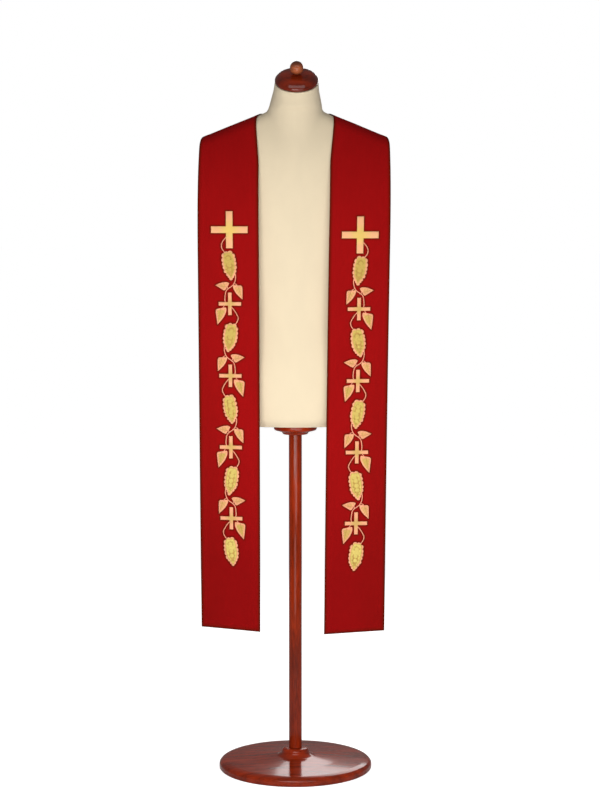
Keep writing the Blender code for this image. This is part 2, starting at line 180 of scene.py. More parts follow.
@dataclass(frozen=True)
class Fall:
    """The cloth's fall from the shoulder line, seen from the side.

    It goes over an arch until it makes the slope with the plumb line, then eases to plumb.
    """

    arch: float
    slope: float
    ease: float
    reach: float = 1.5
    step: float = 0.001

    def table(self) -> tuple[Array, Array, Array]:
        """Length along the cloth, depth and drop, from the shoulder line down."""
        length = np.arange(0.0, self.reach, self.step)
        arch_length = self.arch * (math.pi / 2 - self.slope)
        over_arch = math.pi / 2 - length / self.arch
        easing = self.slope * np.clip(1.0 - (length - arch_length) / self.ease, 0.0, 1.0)
        from_plumb = np.where(length < arch_length, over_arch, easing)
        middle = (from_plumb[1:] + from_plumb[:-1]) / 2
        depth = running(np.sin(middle)) * self.step
        drop = running(np.cos(middle)) * self.step
        return length, depth, drop

    def at(self, turn: Array, lift: Array) -> tuple[Array, Array]:
        """Depth and drop at lengths from the shoulder line, lifted off the cloth's inside."""
        length, depth, drop = self.table()
        near, far = np.maximum(turn - self.step, 0.0), turn + self.step
        run = np.interp(far, length, depth) - np.interp(near, length, depth)
        rise = np.interp(far, length, drop) - np.interp(near, length, drop)
        slant = np.arctan2(rise, run)
        return (
            np.interp(turn, length, depth) + lift * np.sin(slant),
            np.interp(turn, length, drop) - lift * np.cos(slant),
        )


@dataclass(frozen=True)
class Crease:
    """A soft ridge in the cloth, placed by its middle on the flat strip.

    "lean" turns it from the strip's length, and "rise" is its height.
    """

    down: float
    out: float
    half_length: float
    half_breadth: float
    lean: float
    rise: float

    def lift(self, down: Array, out: Array) -> Array:
        """How far it lifts the cloth at points of the strip."""
        along, aside = turned(down - self.down, out - self.out, -math.radians(self.lean))
        falling = -((along / self.half_length) ** 2) - (aside / self.half_breadth) ** 2
        return self.rise * np.exp(falling)


@dataclass(frozen=True)
class HalfCut:
    """One half of the stole: what differs between the left and the right.

    "hem" is measured down the middle of the strip, and the inner corner hangs lower than the outer
    one by the slant. "twist" is how far the hem end turns its outer edge back, in radians. "slip"
    and "beside" are how much lower and further out the embroidery sits.
    """

    side: Side
    toe_in: float
    hem: float
    hem_slant: float
    twist: float
    slip: float
    beside: float
    creases: tuple[Crease, ...] = ()


@dataclass(frozen=True)
class Drape:
    """How a flat strip lies when the stole is worn.

    The inner edge is hollowed at the neck. The outer swing is how far back the strip turns over its
    width below the shoulder, and the toe-in grows to the hem by its curve, an exponent.
    """

    shoulder_slope: float = math.radians(21.7)
    apex_height: float = 1.6531
    front: Fall = Fall(arch=0.050, slope=math.radians(31.0), ease=0.250)
    back: Fall = Fall(arch=0.070, slope=math.radians(42.0), ease=0.180)
    band_width: float = 0.1476
    band_middle: float = 0.1497
    thickness: float = 0.002
    hollow_depth: float = 0.0100
    hollow_middle: float = -0.005
    hollow_reach: float = 0.150
    outer_swing: float = 0.13
    swing_length: float = 0.24
    toe_in_curve: float = 0.55
    seam_gap: float = 0.0003

    def relief(self, half: HalfCut, down: Array, out: Array) -> Array:
        """How far the creases lift the cloth at points of the strip."""
        total = np.zeros(np.broadcast(down, out).shape)
        for crease in half.creases:
            total = total + crease.lift(down, out)
        return total

    def place(self, half: HalfCut, down: Array, out: Array, lift: Array) -> Array:
        """Where points of the flat strip lie.

        Args:
            half: the half they are on.
            down: sizes down.
            out: sizes out.
            lift: heights over the cloth's inside.

        Returns:
            Points, as the last axis of an array of the same shape.
        """
        down, out, lift = np.broadcast_arrays(np.asarray(down, float), out, lift)
        lift = lift + self.relief(half, down, out)
        cos, sin = math.cos(self.shoulder_slope), math.sin(self.shoulder_slope)
        turn = down * cos - out * sin
        ahead_depth, ahead_drop = self.front.at(np.abs(turn), lift)
        behind_depth, behind_drop = self.back.at(np.abs(turn), lift)
        ahead = turn > 0
        y = np.where(ahead, -ahead_depth, behind_depth)
        fall = np.where(ahead, ahead_drop, behind_drop)
        along = self.band_middle / cos + down * sin + out * cos
        x = along * cos - fall * sin
        z = self.apex_height - along * sin - fall * cos
        swing = self.outer_swing * (out + self.band_width / 2)
        hung = np.maximum(down, 0.0) / half.hem
        twist = half.twist * hung**2
        y = y + swing * smooth_step(turn, 0.0, self.swing_length) + out * np.sin(twist)
        x = x - out * (1.0 - np.cos(twist)) - half.toe_in * hung**self.toe_in_curve
        return np.stack([half.side.value * x, y, z], axis=-1)

    def across(self, down: Array, share: Array) -> Array:
        """Size out at a share of the strip's width, from 0 at its inner edge to 1 at its outer."""
        near = 1.0 - np.abs(down - self.hollow_middle) / self.hollow_reach
        edge = -self.band_width / 2 + self.hollow_depth * smooth_step(near, 0.0, 1.0)
        return edge + share * (self.band_width / 2 - edge)

    def seam_down(self, half: HalfCut, share: Array) -> Array:
        """Size down where the strip's lengthwise threads meet the seam at the centre back."""
        flat = replace(half, creases=())

        def past_seam(down: Array) -> Array:
            """Whether points at sizes down have passed the seam."""
            x = self.place(flat, down, self.across(down, share), 0.0)[..., 0]
            return half.side.value * x <= self.seam_gap / 2

        furthest = np.full(share.shape, -self.back.reach / 2)
        return halved(furthest, np.zeros(share.shape), past_seam)[1]

    def crest(self, share: Array) -> Array:
        """Size down where the strip passes over the shoulder line."""
        return math.tan(self.shoulder_slope) * self.across(np.zeros_like(share), share)


# ---- shader maths ----


class Signal:
    """A shader value that Python's operators work on."""

    def __init__(self, paint: Paint, socket: Socket) -> None:
        """Wraps an output socket of a material's nodes."""
        self.paint = paint
        self.socket = socket

    def math(self, operation: str, *others: Signal | float, swap: bool = False) -> Signal:
        """A Math node on this value and others.

        Args:
            operation: the node's operation.
            others: its other values.
            swap: whether this value comes second.

        Returns:
            The node's result.
        """
        values = [*others, self] if swap else [self, *others]
        settings, inputs = {"operation": operation}, dict(enumerate(values))
        return Signal(self.paint, self.paint.node("ShaderNodeMath", settings, inputs).outputs[0])

    def __add__(self, other: Signal | float) -> Signal:
        """The sum."""
        return self.math("ADD", other)

    __radd__ = __add__

    def __sub__(self, other: Signal | float) -> Signal:
        """This less the other."""
        return self.math("SUBTRACT", other)

    def __rsub__(self, other: float) -> Signal:
        """The other less this."""
        return self.math("SUBTRACT", other, swap=True)

    def __mul__(self, other: Signal | float) -> Signal:
        """The product."""
        return self.math("MULTIPLY", other)

    __rmul__ = __mul__

    def __abs__(self) -> Signal:
        """The size without its sign."""
        return self.math("ABSOLUTE")

    def wave(self, pitch: float) -> Signal:
        """A wave of this pitch along the value, from -1 to 1."""
        return (self * (TURN / pitch)).math("SINE")

    def step(self, low: float, high: float) -> Signal:
        """0 below low, 1 above high, and an even S between."""
        settings = {"interpolation_type": "SMOOTHSTEP"}
        inputs = {"Value": self, "From Min": low, "From Max": high}
        node = self.paint.node("ShaderNodeMapRange", settings, inputs)
        return Signal(self.paint, node.outputs[0])

    def spread(self, middle: float, width: float) -> Signal:
        """A value from 0 to 1 spread evenly round a middle."""
        return self * width + (middle - width / 2)


def weighed(signals: Sequence[Signal], weights: Sequence[float]) -> Signal:
    """The sum of the signals, each times its weight."""
    total = signals[0] * weights[0]
    for signal, weight in zip(signals[1:], weights[1:]):
        total = total + signal * weight
    return total


class Paint:
    """The nodes of one material round a Principled shader."""

    def __init__(self, name: str) -> None:
        """Starts a material of this name."""
        self.material = bpy.data.materials.new(name)
        self.material.use_nodes = True
        self.tree = self.material.node_tree
        self.shader = self.tree.nodes["Principled BSDF"]

    def fill(self, socket: Socket, value: object) -> None:
        """Links a signal or a socket to an input, or sets its value."""
        if isinstance(value, Signal):
            value = value.socket
        if isinstance(value, Socket):
            self.tree.links.new(value, socket)
        elif isinstance(value, tuple) and len(value) == 3 and socket.type == "RGBA":
            socket.default_value = (*value, 1.0)
        else:
            socket.default_value = value

    def node(
        self, kind: str, settings: dict[str, object], inputs: dict[int | str, object]
    ) -> bpy.types.Node:
        """Adds a node.

        Args:
            kind: the node's type.
            settings: its properties, which are set first.
            inputs: a value or a link for each socket, by name or number.

        Returns:
            The node.
        """
        made = self.tree.nodes.new(kind)
        for name, value in settings.items():
            setattr(made, name, value)
        for key, value in inputs.items():
            self.fill(made.inputs[key], value)
        return made

    def attribute(self, name: str) -> Signal:
        """A number that the mesh carries."""
        node = self.node("ShaderNodeAttribute", {"attribute_name": name}, {})
        return Signal(self, node.outputs["Fac"])

    def cut_places(self) -> tuple[Socket, Signal, Signal]:
        """The place on the flat cloth, as a vector, and its sizes across and along."""
        place = self.node("ShaderNodeAttribute", {"attribute_name": "cut"}, {})
        vector = place.outputs["Vector"]
        split = self.node("ShaderNodeSeparateXYZ", {}, {0: vector})
        return vector, Signal(self, split.outputs[0]), Signal(self, split.outputs[1])

    def own_places(self) -> Socket:
        """The place in the object's own frame, as a vector."""
        return self.node("ShaderNodeTexCoord", {}, {}).outputs["Object"]

    def noise(self, vector: Socket, stretch: Triple, detail: float = 2.0) -> Signal:
        """Smooth noise from 0 to 1.

        Args:
            vector: the place.
            stretch: how many features lie in a metre, each way.
            detail: how many finer layers it has.

        Returns:
            The noise.
        """
        settings, inputs = {"operation": "MULTIPLY"}, {0: vector, 1: stretch}
        scaled = self.node("ShaderNodeVectorMath", settings, inputs)
        inputs = {"Vector": scaled.outputs[0], "Scale": 1.0, "Detail": detail}
        return Signal(self, self.node("ShaderNodeTexNoise", {}, inputs).outputs[0])

    def mix(self, share: Signal, first: object, second: object) -> Socket:
        """A colour between two, by a share from 0 to 1."""
        settings = {"data_type": "RGBA", "clamp_factor": True}
        node = self.node("ShaderNodeMix", settings, {0: share, 6: first, 7: second})
        return node.outputs[2]

    def toned(self, light: Signal, colour: Colour, shares: Place) -> Socket:
        """A colour at the first share of its strength in the dark, to the second in the light."""
        return self.mix(light, shade_of(colour, shares[0]), shade_of(colour, shares[1]))

    def finish(
        self, colour: object, roughness: object, height: Signal, bump: float, **others: object
    ) -> None:
        """Feeds the shader.

        Args:
            colour: the base colour.
            roughness: the roughness.
            height: the surface's relief, where 1 stands for the bump's size.
            bump: the relief's size in metres.
            others: what the other sockets get, by name with _ for a space.
        """
        inputs = {"Height": height, "Strength": 1.0, "Distance": bump}
        relief = self.node("ShaderNodeBump", {}, inputs).outputs[0]
        fed = {"Base_Color": colour, "Roughness": roughness, "Normal": relief, **others}
        for name, value in fed.items():
            self.fill(self.shader.inputs[name.replace("_", " ")], value)


def shade_of(colour: Colour, share: float) -> Colour:
    """A colour made darker or lighter by a share."""
    return (colour[0] * share, colour[1] * share, colour[2] * share)


# ---- finishes ----


@dataclass(frozen=True)
class WovenCloth:
    """A dyed woven cloth with a fine diagonal rib, darker where the mesh's painted shade is low.

    Painted shade darkens it a little towards the hem. "yarns", "slubs" and "patches" are how many
    of them lie in a metre, each way. "light" weighs the rib and these for the colour, and "relief"
    the rib, yarns and slubs for the bump. "shares" is how dark and how light the dye gets.
    """

    name: str
    colour: Colour
    rib: float = 0.0009
    rib_slant: Place = (0.89, 0.45)
    yarns: Triple = (2600.0, 900.0, 1.0)
    slubs: Triple = (160.0, 28.0, 1.0)
    patches: Triple = (9.0, 5.0, 1.0)
    light: Numbers = (0.10, 0.35, 0.45, 0.55)
    light_range: Place = (0.10, 1.30)
    shares: Place = (0.84, 1.16)
    hem_shade_range: Place = (0.80, 1.12)
    shade_share: float = 0.15
    darkest_shade: Colour = (0.077, 0.0062, 0.0004)
    relief: Numbers = (0.5, 0.7, 0.5)
    relief_height: float = 0.00009
    roughness: float = 0.84
    rough_spread: float = 0.10
    specular: float = 0.045
    sheen: float = 0.02
    sheen_roughness: float = 0.5
    sheen_tint: Colour = (1.0, 0.25, 0.25)

    def material(self) -> Material:
        """Makes the material."""
        paint = Paint(self.name)
        place, across, along = paint.cut_places()
        rib = weighed((across, along), self.rib_slant).wave(self.rib)
        yarn = paint.noise(place, self.yarns)
        slub = paint.noise(place, self.slubs, 3.0)
        patch = paint.noise(place, self.patches)
        light = weighed((rib, yarn, slub, patch), self.light).step(*self.light_range)
        worn = paint.toned(light, self.colour, self.shares)
        # painted shade: the cloth gets a little darker towards the hem
        shaded_colour = paint.mix(along.step(*self.hem_shade_range) * self.shade_share, worn, BLACK)
        # painted shade: the mesh's shade darkens the cloth at its folded edges, on its outer side
        # low down and round the motifs
        paint.finish(
            paint.mix(paint.attribute("shade"), self.darkest_shade, shaded_colour),
            slub.spread(self.roughness, self.rough_spread),
            weighed((rib, yarn, slub), self.relief), self.relief_height,
            Specular_IOR_Level=self.specular, Sheen_Weight=self.sheen,
            Sheen_Roughness=self.sheen_roughness, Sheen_Tint=self.sheen_tint,
        )
        return paint.material


@dataclass(frozen=True)
class StitchedThread:
    """Silky embroidery thread, laid side by side.

    The mesh carries "lay", the size across the threads, "tint", from the rim's colour at 0 over the
    middle's at 1 to the fresh one at 2, and "shade", painted shade that is low between the stitched
    forms. "fibres" and "patches" are how many of them lie in a metre. "open" weighs the strand's
    crown and the fibres, where a low sum is a groove, which gets painted shade.
    """

    name: str
    rim: Colour
    middle: Colour
    fresh: Colour = (0.81, 0.655, 0.18)
    darkest_shade: Colour = (0.37, 0.115, 0.028)
    groove: Colour = (0.93, 0.85, 0.75)
    pitch: float = 0.0007
    fibres: Triple = (520.0, 520.0, 520.0)
    patches: Triple = (120.0, 120.0, 120.0)
    tint_spread: float = 0.4
    open: Place = (0.8, 0.5)
    open_range: Place = (0.05, 0.80)
    relief_height: float = 0.00020
    fibre_relief: float = 0.4
    roughness: float = 0.46
    rough_spread: float = 0.16
    specular: float = 0.10
    metallic: float = 0.04

    def material(self) -> Material:
        """Makes the material."""
        paint = Paint(self.name)
        lay, tint, shade = (paint.attribute(name) for name in ("lay", "tint", "shade"))
        place = paint.own_places()
        strand = abs(lay.wave(2 * self.pitch))
        fibre = paint.noise(place, self.fibres)
        patch = paint.noise(place, self.patches)
        tint = tint + (patch - 0.5) * self.tint_spread
        body = paint.mix(tint, self.rim, paint.mix(tint - 1.0, self.middle, self.fresh))
        is_open = weighed((strand, fibre), self.open).step(*self.open_range)
        settings = {"data_type": "RGBA", "blend_type": "MULTIPLY"}
        # painted shade in the grooves between the strands
        shaded_colour = paint.node("ShaderNodeMix", settings, {0: 1.0, 6: body, 7: self.groove}).outputs[2]
        # painted shade between the stitched forms, from the mesh's shade
        paint.finish(
            paint.mix(shade, self.darkest_shade, paint.mix(is_open, shaded_colour, body)),
            fibre.spread(self.roughness, self.rough_spread),
            strand + fibre * self.fibre_relief, self.relief_height,
            Specular_IOR_Level=self.specular, Metallic=self.metallic,
        )
        return paint.material


@dataclass(frozen=True)
class Jersey:
    """A fine knitted cover.

    "patches" and "fluffs" are how many of them lie in a metre, each way, and "light" weighs the
    wales, the courses and these for the colour.
    """

    name: str
    colour: Colour
    stitch: float = 0.0011
    course_bend: float = 0.4
    course_share: float = 0.8
    patches: Triple = (14.0, 10.0, 1.0)
    fluffs: Triple = (900.0, 900.0, 1.0)
    light: Numbers = (0.20, 0.08, 0.35, 0.35)
    light_range: Place = (0.10, 0.95)
    shares: Place = (0.91, 1.05)
    relief_height: float = 0.00012
    fine_relief: float = 0.3
    roughness: float = 0.88
    rough_spread: float = 0.08
    specular: float = 0.2
    sheen: float = 0.15
    sheen_roughness: float = 0.6

    def material(self) -> Material:
        """Makes the material."""
        paint = Paint(self.name)
        place, across, along = paint.cut_places()
        wale = abs(across.wave(2 * self.stitch))
        bent = along + wale * (self.stitch * self.course_bend)
        course = bent.wave(self.stitch * self.course_share)
        patch = paint.noise(place, self.patches, 3.0)
        fluff = paint.noise(place, self.fluffs)
        light = weighed((wale, course, patch, fluff), self.light).step(*self.light_range)
        paint.finish(
            paint.toned(light, self.colour, self.shares),
            fluff.spread(self.roughness, self.rough_spread),
            wale + course * self.fine_relief + fluff * self.fine_relief, self.relief_height,
            Specular_IOR_Level=self.specular, Sheen_Weight=self.sheen,
            Sheen_Roughness=self.sheen_roughness,
        )
        return paint.material


@dataclass(frozen=True)
class VarnishedWood:
    """Stained turned wood under a gloss varnish, darker where the mesh's painted shade is low.

    "drift", "lines" and "pores" are how many broad patches, grain lines and pores lie in a metre,
    each way, and "light" weighs them for the colour. The varnish is thinner where there is little
    painted shade.
    """

    name: str
    colour: Colour
    shares: Place = (0.40, 1.6)
    shade_share: float = 0.22
    drift: Triple = (9.0, 54.0, 40.0)
    lines: Triple = (60.0, 1100.0, 700.0)
    pores: Triple = (160.0, 3200.0, 3200.0)
    light: Numbers = (0.8, 0.6, 0.25)
    light_range: Place = (0.50, 1.10)
    relief_height: float = 0.00006
    grain_relief: float = 0.6
    roughness: float = 0.24
    rough_spread: float = 0.10
    specular: float = 0.05
    varnish: Colour = (0.86, 0.74, 0.68)
    coat: float = 0.75
    coat_loss: float = 0.33
    coat_range: Place = (0.70, 0.95)
    coat_roughness: float = 0.10

    def material(self) -> Material:
        """Makes the material."""
        paint = Paint(self.name)
        place = paint.own_places()
        drift = paint.noise(place, self.drift, 3.0)
        grain = paint.noise(place, self.lines, 4.0)
        pores = paint.noise(place, self.pores)
        light = weighed((drift, grain, pores), self.light).step(*self.light_range)
        wood_tone = paint.toned(light, self.colour, self.shares)
        shade = paint.attribute("shade")
        # painted shade: where the mesh's shade is low the wood darkens towards this colour, at the
        # cap's rim and the knob's top
        shaded_colour = shade_of(self.colour, self.shade_share)
        paint.finish(
            paint.mix(shade, shaded_colour, wood_tone), grain.spread(self.roughness, self.rough_spread),
            grain * self.grain_relief + drift, self.relief_height,
            Specular_IOR_Level=self.specular, Coat_Roughness=self.coat_roughness,
            Coat_Tint=self.varnish,
            Coat_Weight=self.coat - shade.step(*self.coat_range) * self.coat_loss,
        )
        return paint.material


@dataclass(frozen=True)
class PaleFloor:
    """An even studio floor that looks white and lights the object only a little."""

    name: str = "pale_floor"
    colour: Colour = (0.80, 0.80, 0.80)
    haze_share: float = 0.985
    haze: Triple = (2.0, 2.0, 2.0)
    relief_height: float = 0.00002
    roughness: float = 0.75
    specular: float = 0.1
    glow: float = 0.84
    spill: float = 0.05

    def material(self) -> Material:
        """Makes the material."""
        paint = Paint(self.name)
        haze = paint.noise(paint.own_places(), self.haze)
        colour = paint.mix(haze, shade_of(self.colour, self.haze_share), self.colour)
        seen = Signal(paint, paint.node("ShaderNodeLightPath", {}, {}).outputs["Is Camera Ray"])
        glow = paint.mix(seen, shade_of(WHITE, self.spill / self.glow), WHITE)
        paint.finish(
            colour, self.roughness, haze, self.relief_height,
            Specular_IOR_Level=self.specular, Emission_Color=glow, Emission_Strength=self.glow,
        )
        return paint.material


# ---- meshes ----


@dataclass
class Draft:
    """Points and faces of one piece, gathered part by part.

    Each point carries its place on the flat cloth, its tint and its shade. Each corner of a face
    carries its size across the threads.
    """

    points: list[Array] = field(default_factory=list)
    cuts: list[Array] = field(default_factory=list)
    tints: list[Array] = field(default_factory=list)
    shades: list[Array] = field(default_factory=list)
    lays: list[float] = field(default_factory=list)
    faces: list[Face] = field(default_factory=list)
    slots: list[int] = field(default_factory=list)
    count: int = 0

    def add(
        self,
        points: Array,
        faces: Iterable[Face],
        cut: Array | Place = (0.0, 0.0),
        tint: Array | float = 0.0,
        shade: Array | float = 1.0,
        lay: Array | float = 0.0,
        corner_lay: Callable[[Face], Iterable[float]] | None = None,
        slots: Sequence[int] | int = 0,
    ) -> None:
        """Adds a part. What is the same for all of it may be one value.

        Args:
            points: rows of x, y, z.
            faces: corner numbers within the part.
            cut: each point's (across, along) on the flat cloth.
            tint: each point's tint.
            shade: each point's shade.
            lay: each point's size across the threads.
            corner_lay: the same for a face's corners, where it differs from face to face.
            slots: each face's material slot.
        """
        self.points.append(np.reshape(points, (-1, 3)))
        many = len(self.points[-1])
        self.cuts.append(np.broadcast_to(np.reshape(cut, (-1, 2)), (many, 2)))
        self.tints.append(np.broadcast_to(np.ravel(tint), many))
        self.shades.append(np.broadcast_to(np.ravel(shade), many))
        lay = np.broadcast_to(np.ravel(lay), many)
        before = len(self.faces)
        for face in faces:
            self.lays.extend(corner_lay(face) if corner_lay else lay[list(face)])
            self.faces.append(tuple(int(corner) + self.count for corner in face))
        self.slots.extend(np.broadcast_to(slots, len(self.faces) - before))
        self.count += many

    def piece(self, name: str, materials: Sequence[Material], sharp: float = 50.0) -> Object:
        """Makes the object, with its faces looking out.

        Args:
            name: the piece's name.
            materials: one for each slot.
            sharp: edges that turn more than these degrees stay sharp.

        Returns:
            The object.
        """
        mesh = bpy.data.meshes.new(name)
        mesh.from_pydata(np.vstack(self.points).tolist(), [], self.faces)
        for material in materials:
            mesh.materials.append(material)
        cut = np.vstack(self.cuts)
        cut = np.column_stack([cut, np.zeros(len(cut))]).astype(np.float32)
        mesh.attributes.new("cut", "FLOAT_VECTOR", "POINT").data.foreach_set("vector", cut.ravel())
        for label, values in (("tint", self.tints), ("shade", self.shades)):
            numbers = np.concatenate(values).astype(np.float32)
            mesh.attributes.new(label, "FLOAT", "POINT").data.foreach_set("value", numbers)
        lay = np.array(self.lays, np.float32)
        mesh.attributes.new("lay", "FLOAT", "CORNER").data.foreach_set("value", lay)
        mesh.polygons.foreach_set("material_index", np.array(self.slots, np.int32))
        work = bmesh.new()
        work.from_mesh(mesh)
        bmesh.ops.recalc_face_normals(work, faces=work.faces)
        work.to_mesh(mesh)
        work.free()
        mesh.shade_smooth()
        mesh.set_sharp_from_angle(angle=math.radians(sharp))
        return put_in_scene(name, mesh)


def put_in_scene(name: str, data: bpy.types.ID) -> Object:
    """Puts a mesh, a light or a camera in the scene."""
    made = bpy.data.objects.new(name, data)
    bpy.context.scene.collection.objects.link(made)
    return made


def strip_faces(rows: int, columns: int, closed: bool) -> list[Face]:
    """Faces between rows of points.

    Args:
        rows: how many rows.
        columns: how many points a row has.
        closed: whether each row is a ring.

    Returns:
        Four corner numbers a face.
    """
    last = columns if closed else columns - 1
    return [
        (row * columns + column, row * columns + (column + 1) % columns,
         (row + 1) * columns + (column + 1) % columns, (row + 1) * columns + column)
        for row in range(rows - 1)
        for column in range(last)
    ]


def disc_faces(rings: int, many: int) -> list[Face]:
    """Faces of a disc: a fan round point 0, then strips between rings of this many points."""
    fan = [(0, 1 + k, 1 + (k + 1) % many) for k in range(many)]
    return fan + [tuple(1 + k for k in quad) for quad in strip_faces(rings, many, closed=True)]


def tube_faces(rings: int, many: int) -> list[Face]:
    """Faces of a tube of rings of this many points, with a flat one at each end."""
    last = (rings - 1) * many
    ends = [tuple(range(many))[::-1], tuple(range(last, last + many))]
    return strip_faces(rings, many, closed=True) + ends


def rim_of(faces: Sequence[Face]) -> list[int]:
    """The corners round the open edge of a patch of faces, in order."""
    edges = {(here, after) for face in faces for here, after in zip(face, (*face[1:], face[0]))}
    follow = {here: after for here, after in edges if (after, here) not in edges}
    loop = [min(follow)]
    while follow[loop[-1]] != loop[0]:
        loop.append(follow[loop[-1]])
    return loop


def outward(line: Array) -> Array:
    """Unit ways out of a closed loop of (down, out) rows."""
    run = np.roll(line, -1, axis=0) - np.roll(line, 1, axis=0)
    after = np.roll(line, -1, axis=0)
    turn = np.sign(np.sum(line[:, 0] * after[:, 1] - line[:, 1] * after[:, 0]))
    size = np.maximum(np.hypot(run[:, 0], run[:, 1]), TINY)
    return turn * np.column_stack([run[:, 1] / size, -run[:, 0] / size])


def settle(piece: Object, slot: Slot, *nodes: str) -> Object:
    """Rides a piece on the only body, and hides the nodes that it replaces."""
    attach(piece, BODY)
    if nodes:
        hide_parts(*nodes)
    LOG.info("%s: %d faces", piece.name, len(piece.data.polygons))
    return piece


# ---- the stole's cloth ----


@dataclass(frozen=True)
class StoleHalf:
    """One half: face cloth turned over its edges, with the lining a little inside them.

    The edge runs round half a circle of the cloth's thickness. The turned allowance shows as a low
    rise along the edges on the face, and the lining as one on the inside. A pair says where
    something starts and over what size it comes: in from the edge for the allowance, the lining's
    edge and the edges' shade, and at shares of the width and sizes down for the outer shade.
    """

    drape: Drape
    half: HalfCut
    allowance: Place = (0.011, 0.0035)
    field_sink: float = 0.0003
    lining_edge: Place = (0.0039, 0.0012)
    lining_inset: float = 0.0045
    margin_sink: float = 0.0004
    edge_shade: float = 0.88
    edge_fade: Place = (0.0006, 0.0085)
    outer_shade: float = 0.09
    outer_across: Place = (0.40, 0.5)
    outer_down: Place = (0.45, 0.35)
    edge_offsets: Numbers = (
        0.001, 0.0018, 0.0030, 0.0039, 0.0045, 0.0052, 0.0068, 0.0090, 0.0113, 0.0128, 0.0143,
        0.0165,
    )
    middle_columns: int = 26
    edge_steps: int = 5
    rows_behind: int = 84
    rows_over: int = 120
    over_length: float = 0.36
    over_spread: float = 1.15
    rows_hanging: int = 170
    end_turns: Numbers = (0.0, 32.0, 58.0, 78.0)
    hem_round: float = 0.001
    seam_round: float = 0.0006
    cut_samples: int = 41

    def face_shares(self) -> Array:
        """Shares of the width at which both faces have a column."""
        edge = np.array(self.edge_offsets) / self.drape.band_width
        middle = np.linspace(edge[-1], 1.0 - edge[-1], self.middle_columns)[1:-1]
        return np.concatenate([edge, middle, 1.0 - edge[::-1]])

    def inward(self, shares: Array) -> Array:
        """How far inside the strip's edges these shares of its width are."""
        return np.minimum(shares, 1.0 - shares) * self.drape.band_width

    def hem_down(self, shares: Array) -> Array:
        """Size down of the hem at shares of the width."""
        return self.half.hem + self.half.hem_slant * (0.5 - shares)

    def ring(self) -> tuple[Array, Array]:
        """Shares and lifts round the strip's section: face, outer edge, inside, inner edge."""
        thickness, shares = self.drape.thickness, self.face_shares()
        inward = self.inward(shares)
        face = thickness - self.field_sink * smooth_step(inward, *self.allowance)
        inside = self.margin_sink * (1.0 - smooth_step(inward, *self.lining_edge))
        angles = np.linspace(math.pi / 2, -math.pi / 2, self.edge_steps + 2)[1:-1]
        middle = (thickness + self.margin_sink) / 2
        edge_lift = middle + (thickness - self.margin_sink) / 2 * np.sin(angles)
        turn_in = thickness / 2 * (1.0 - np.cos(angles)) / self.drape.band_width
        ring_shares = np.concatenate([shares, 1.0 - turn_in, shares[::-1], turn_in[::-1]])
        lifts = np.concatenate([face, edge_lift, inside[::-1], edge_lift[::-1]])
        return ring_shares, lifts

    def downs(self, shares: Array) -> tuple[Array, Array]:
        """Spaces the rows of points along the strip.

        Args:
            shares: shares of the way across it.

        Returns:
            Sizes down of every row there, and how much of the thickness each row keeps.
        """
        crest, slope = self.drape.crest(shares), math.cos(self.drape.shoulder_slope)
        seam = self.drape.seam_down(self.half, shares)
        start, end = seam + self.seam_round, self.hem_down(shares) - self.hem_round
        first = crest + self.over_length / slope
        turns = np.radians(self.end_turns)
        behind = np.arange(self.rows_behind) / self.rows_behind
        over = np.arange(self.rows_over) / self.rows_over
        hanging = np.linspace(0.0, 1.0, self.rows_hanging + 1)
        rows = [
            *(seam + self.seam_round * (1.0 - math.sin(turn)) for turn in turns[:0:-1]),
            *(start * (1.0 - part) + crest * part for part in behind),
            *(crest + self.over_length * part**self.over_spread / slope for part in over),
            *(first * (1.0 - part) + end * part for part in hanging),
            *(end + self.hem_round * math.sin(turn) for turn in turns[1:]),
        ]
        thinned = np.array([math.cos(turn) for turn in turns[1:]])
        full = np.ones(len(rows) - 2 * len(thinned))
        return np.array(rows), np.concatenate([thinned[::-1], full, thinned])

    def shade(self, shares: Array, downs: Array) -> Array:
        """The cloth's painted shade: low at the pressed folds of its edges, and a little lower on
        its outer side further down.
        """
        above_hem = np.maximum(self.hem_down(shares) - downs, 0.0)
        near = np.minimum(self.inward(shares)[None, :], above_hem)
        # painted shade at the pressed folds of the edges, and on the outer side low down
        fold_shade = self.edge_shade * (1.0 - smooth_step(near, *self.edge_fade))
        outer = self.outer_shade * smooth_step(shares[None, :], *self.outer_across)
        return (1.0 - fold_shade) * (1.0 - outer * smooth_step(downs, *self.outer_down))

    def end_faces(self, start: int, columns: int) -> list[Face]:
        """Faces that close the band's end at the row of points from this one."""
        wide, steps = len(self.face_shares()), self.edge_steps
        back = 2 * wide + steps - 1
        return [
            *((start + k, start + k + 1, start + back - k - 1, start + back - k)
              for k in range(wide - 1)),
            tuple(start + k for k in range(wide - 1, wide + steps + 1)),
            tuple(start + k % columns for k in range(back, columns + 1)),
        ]

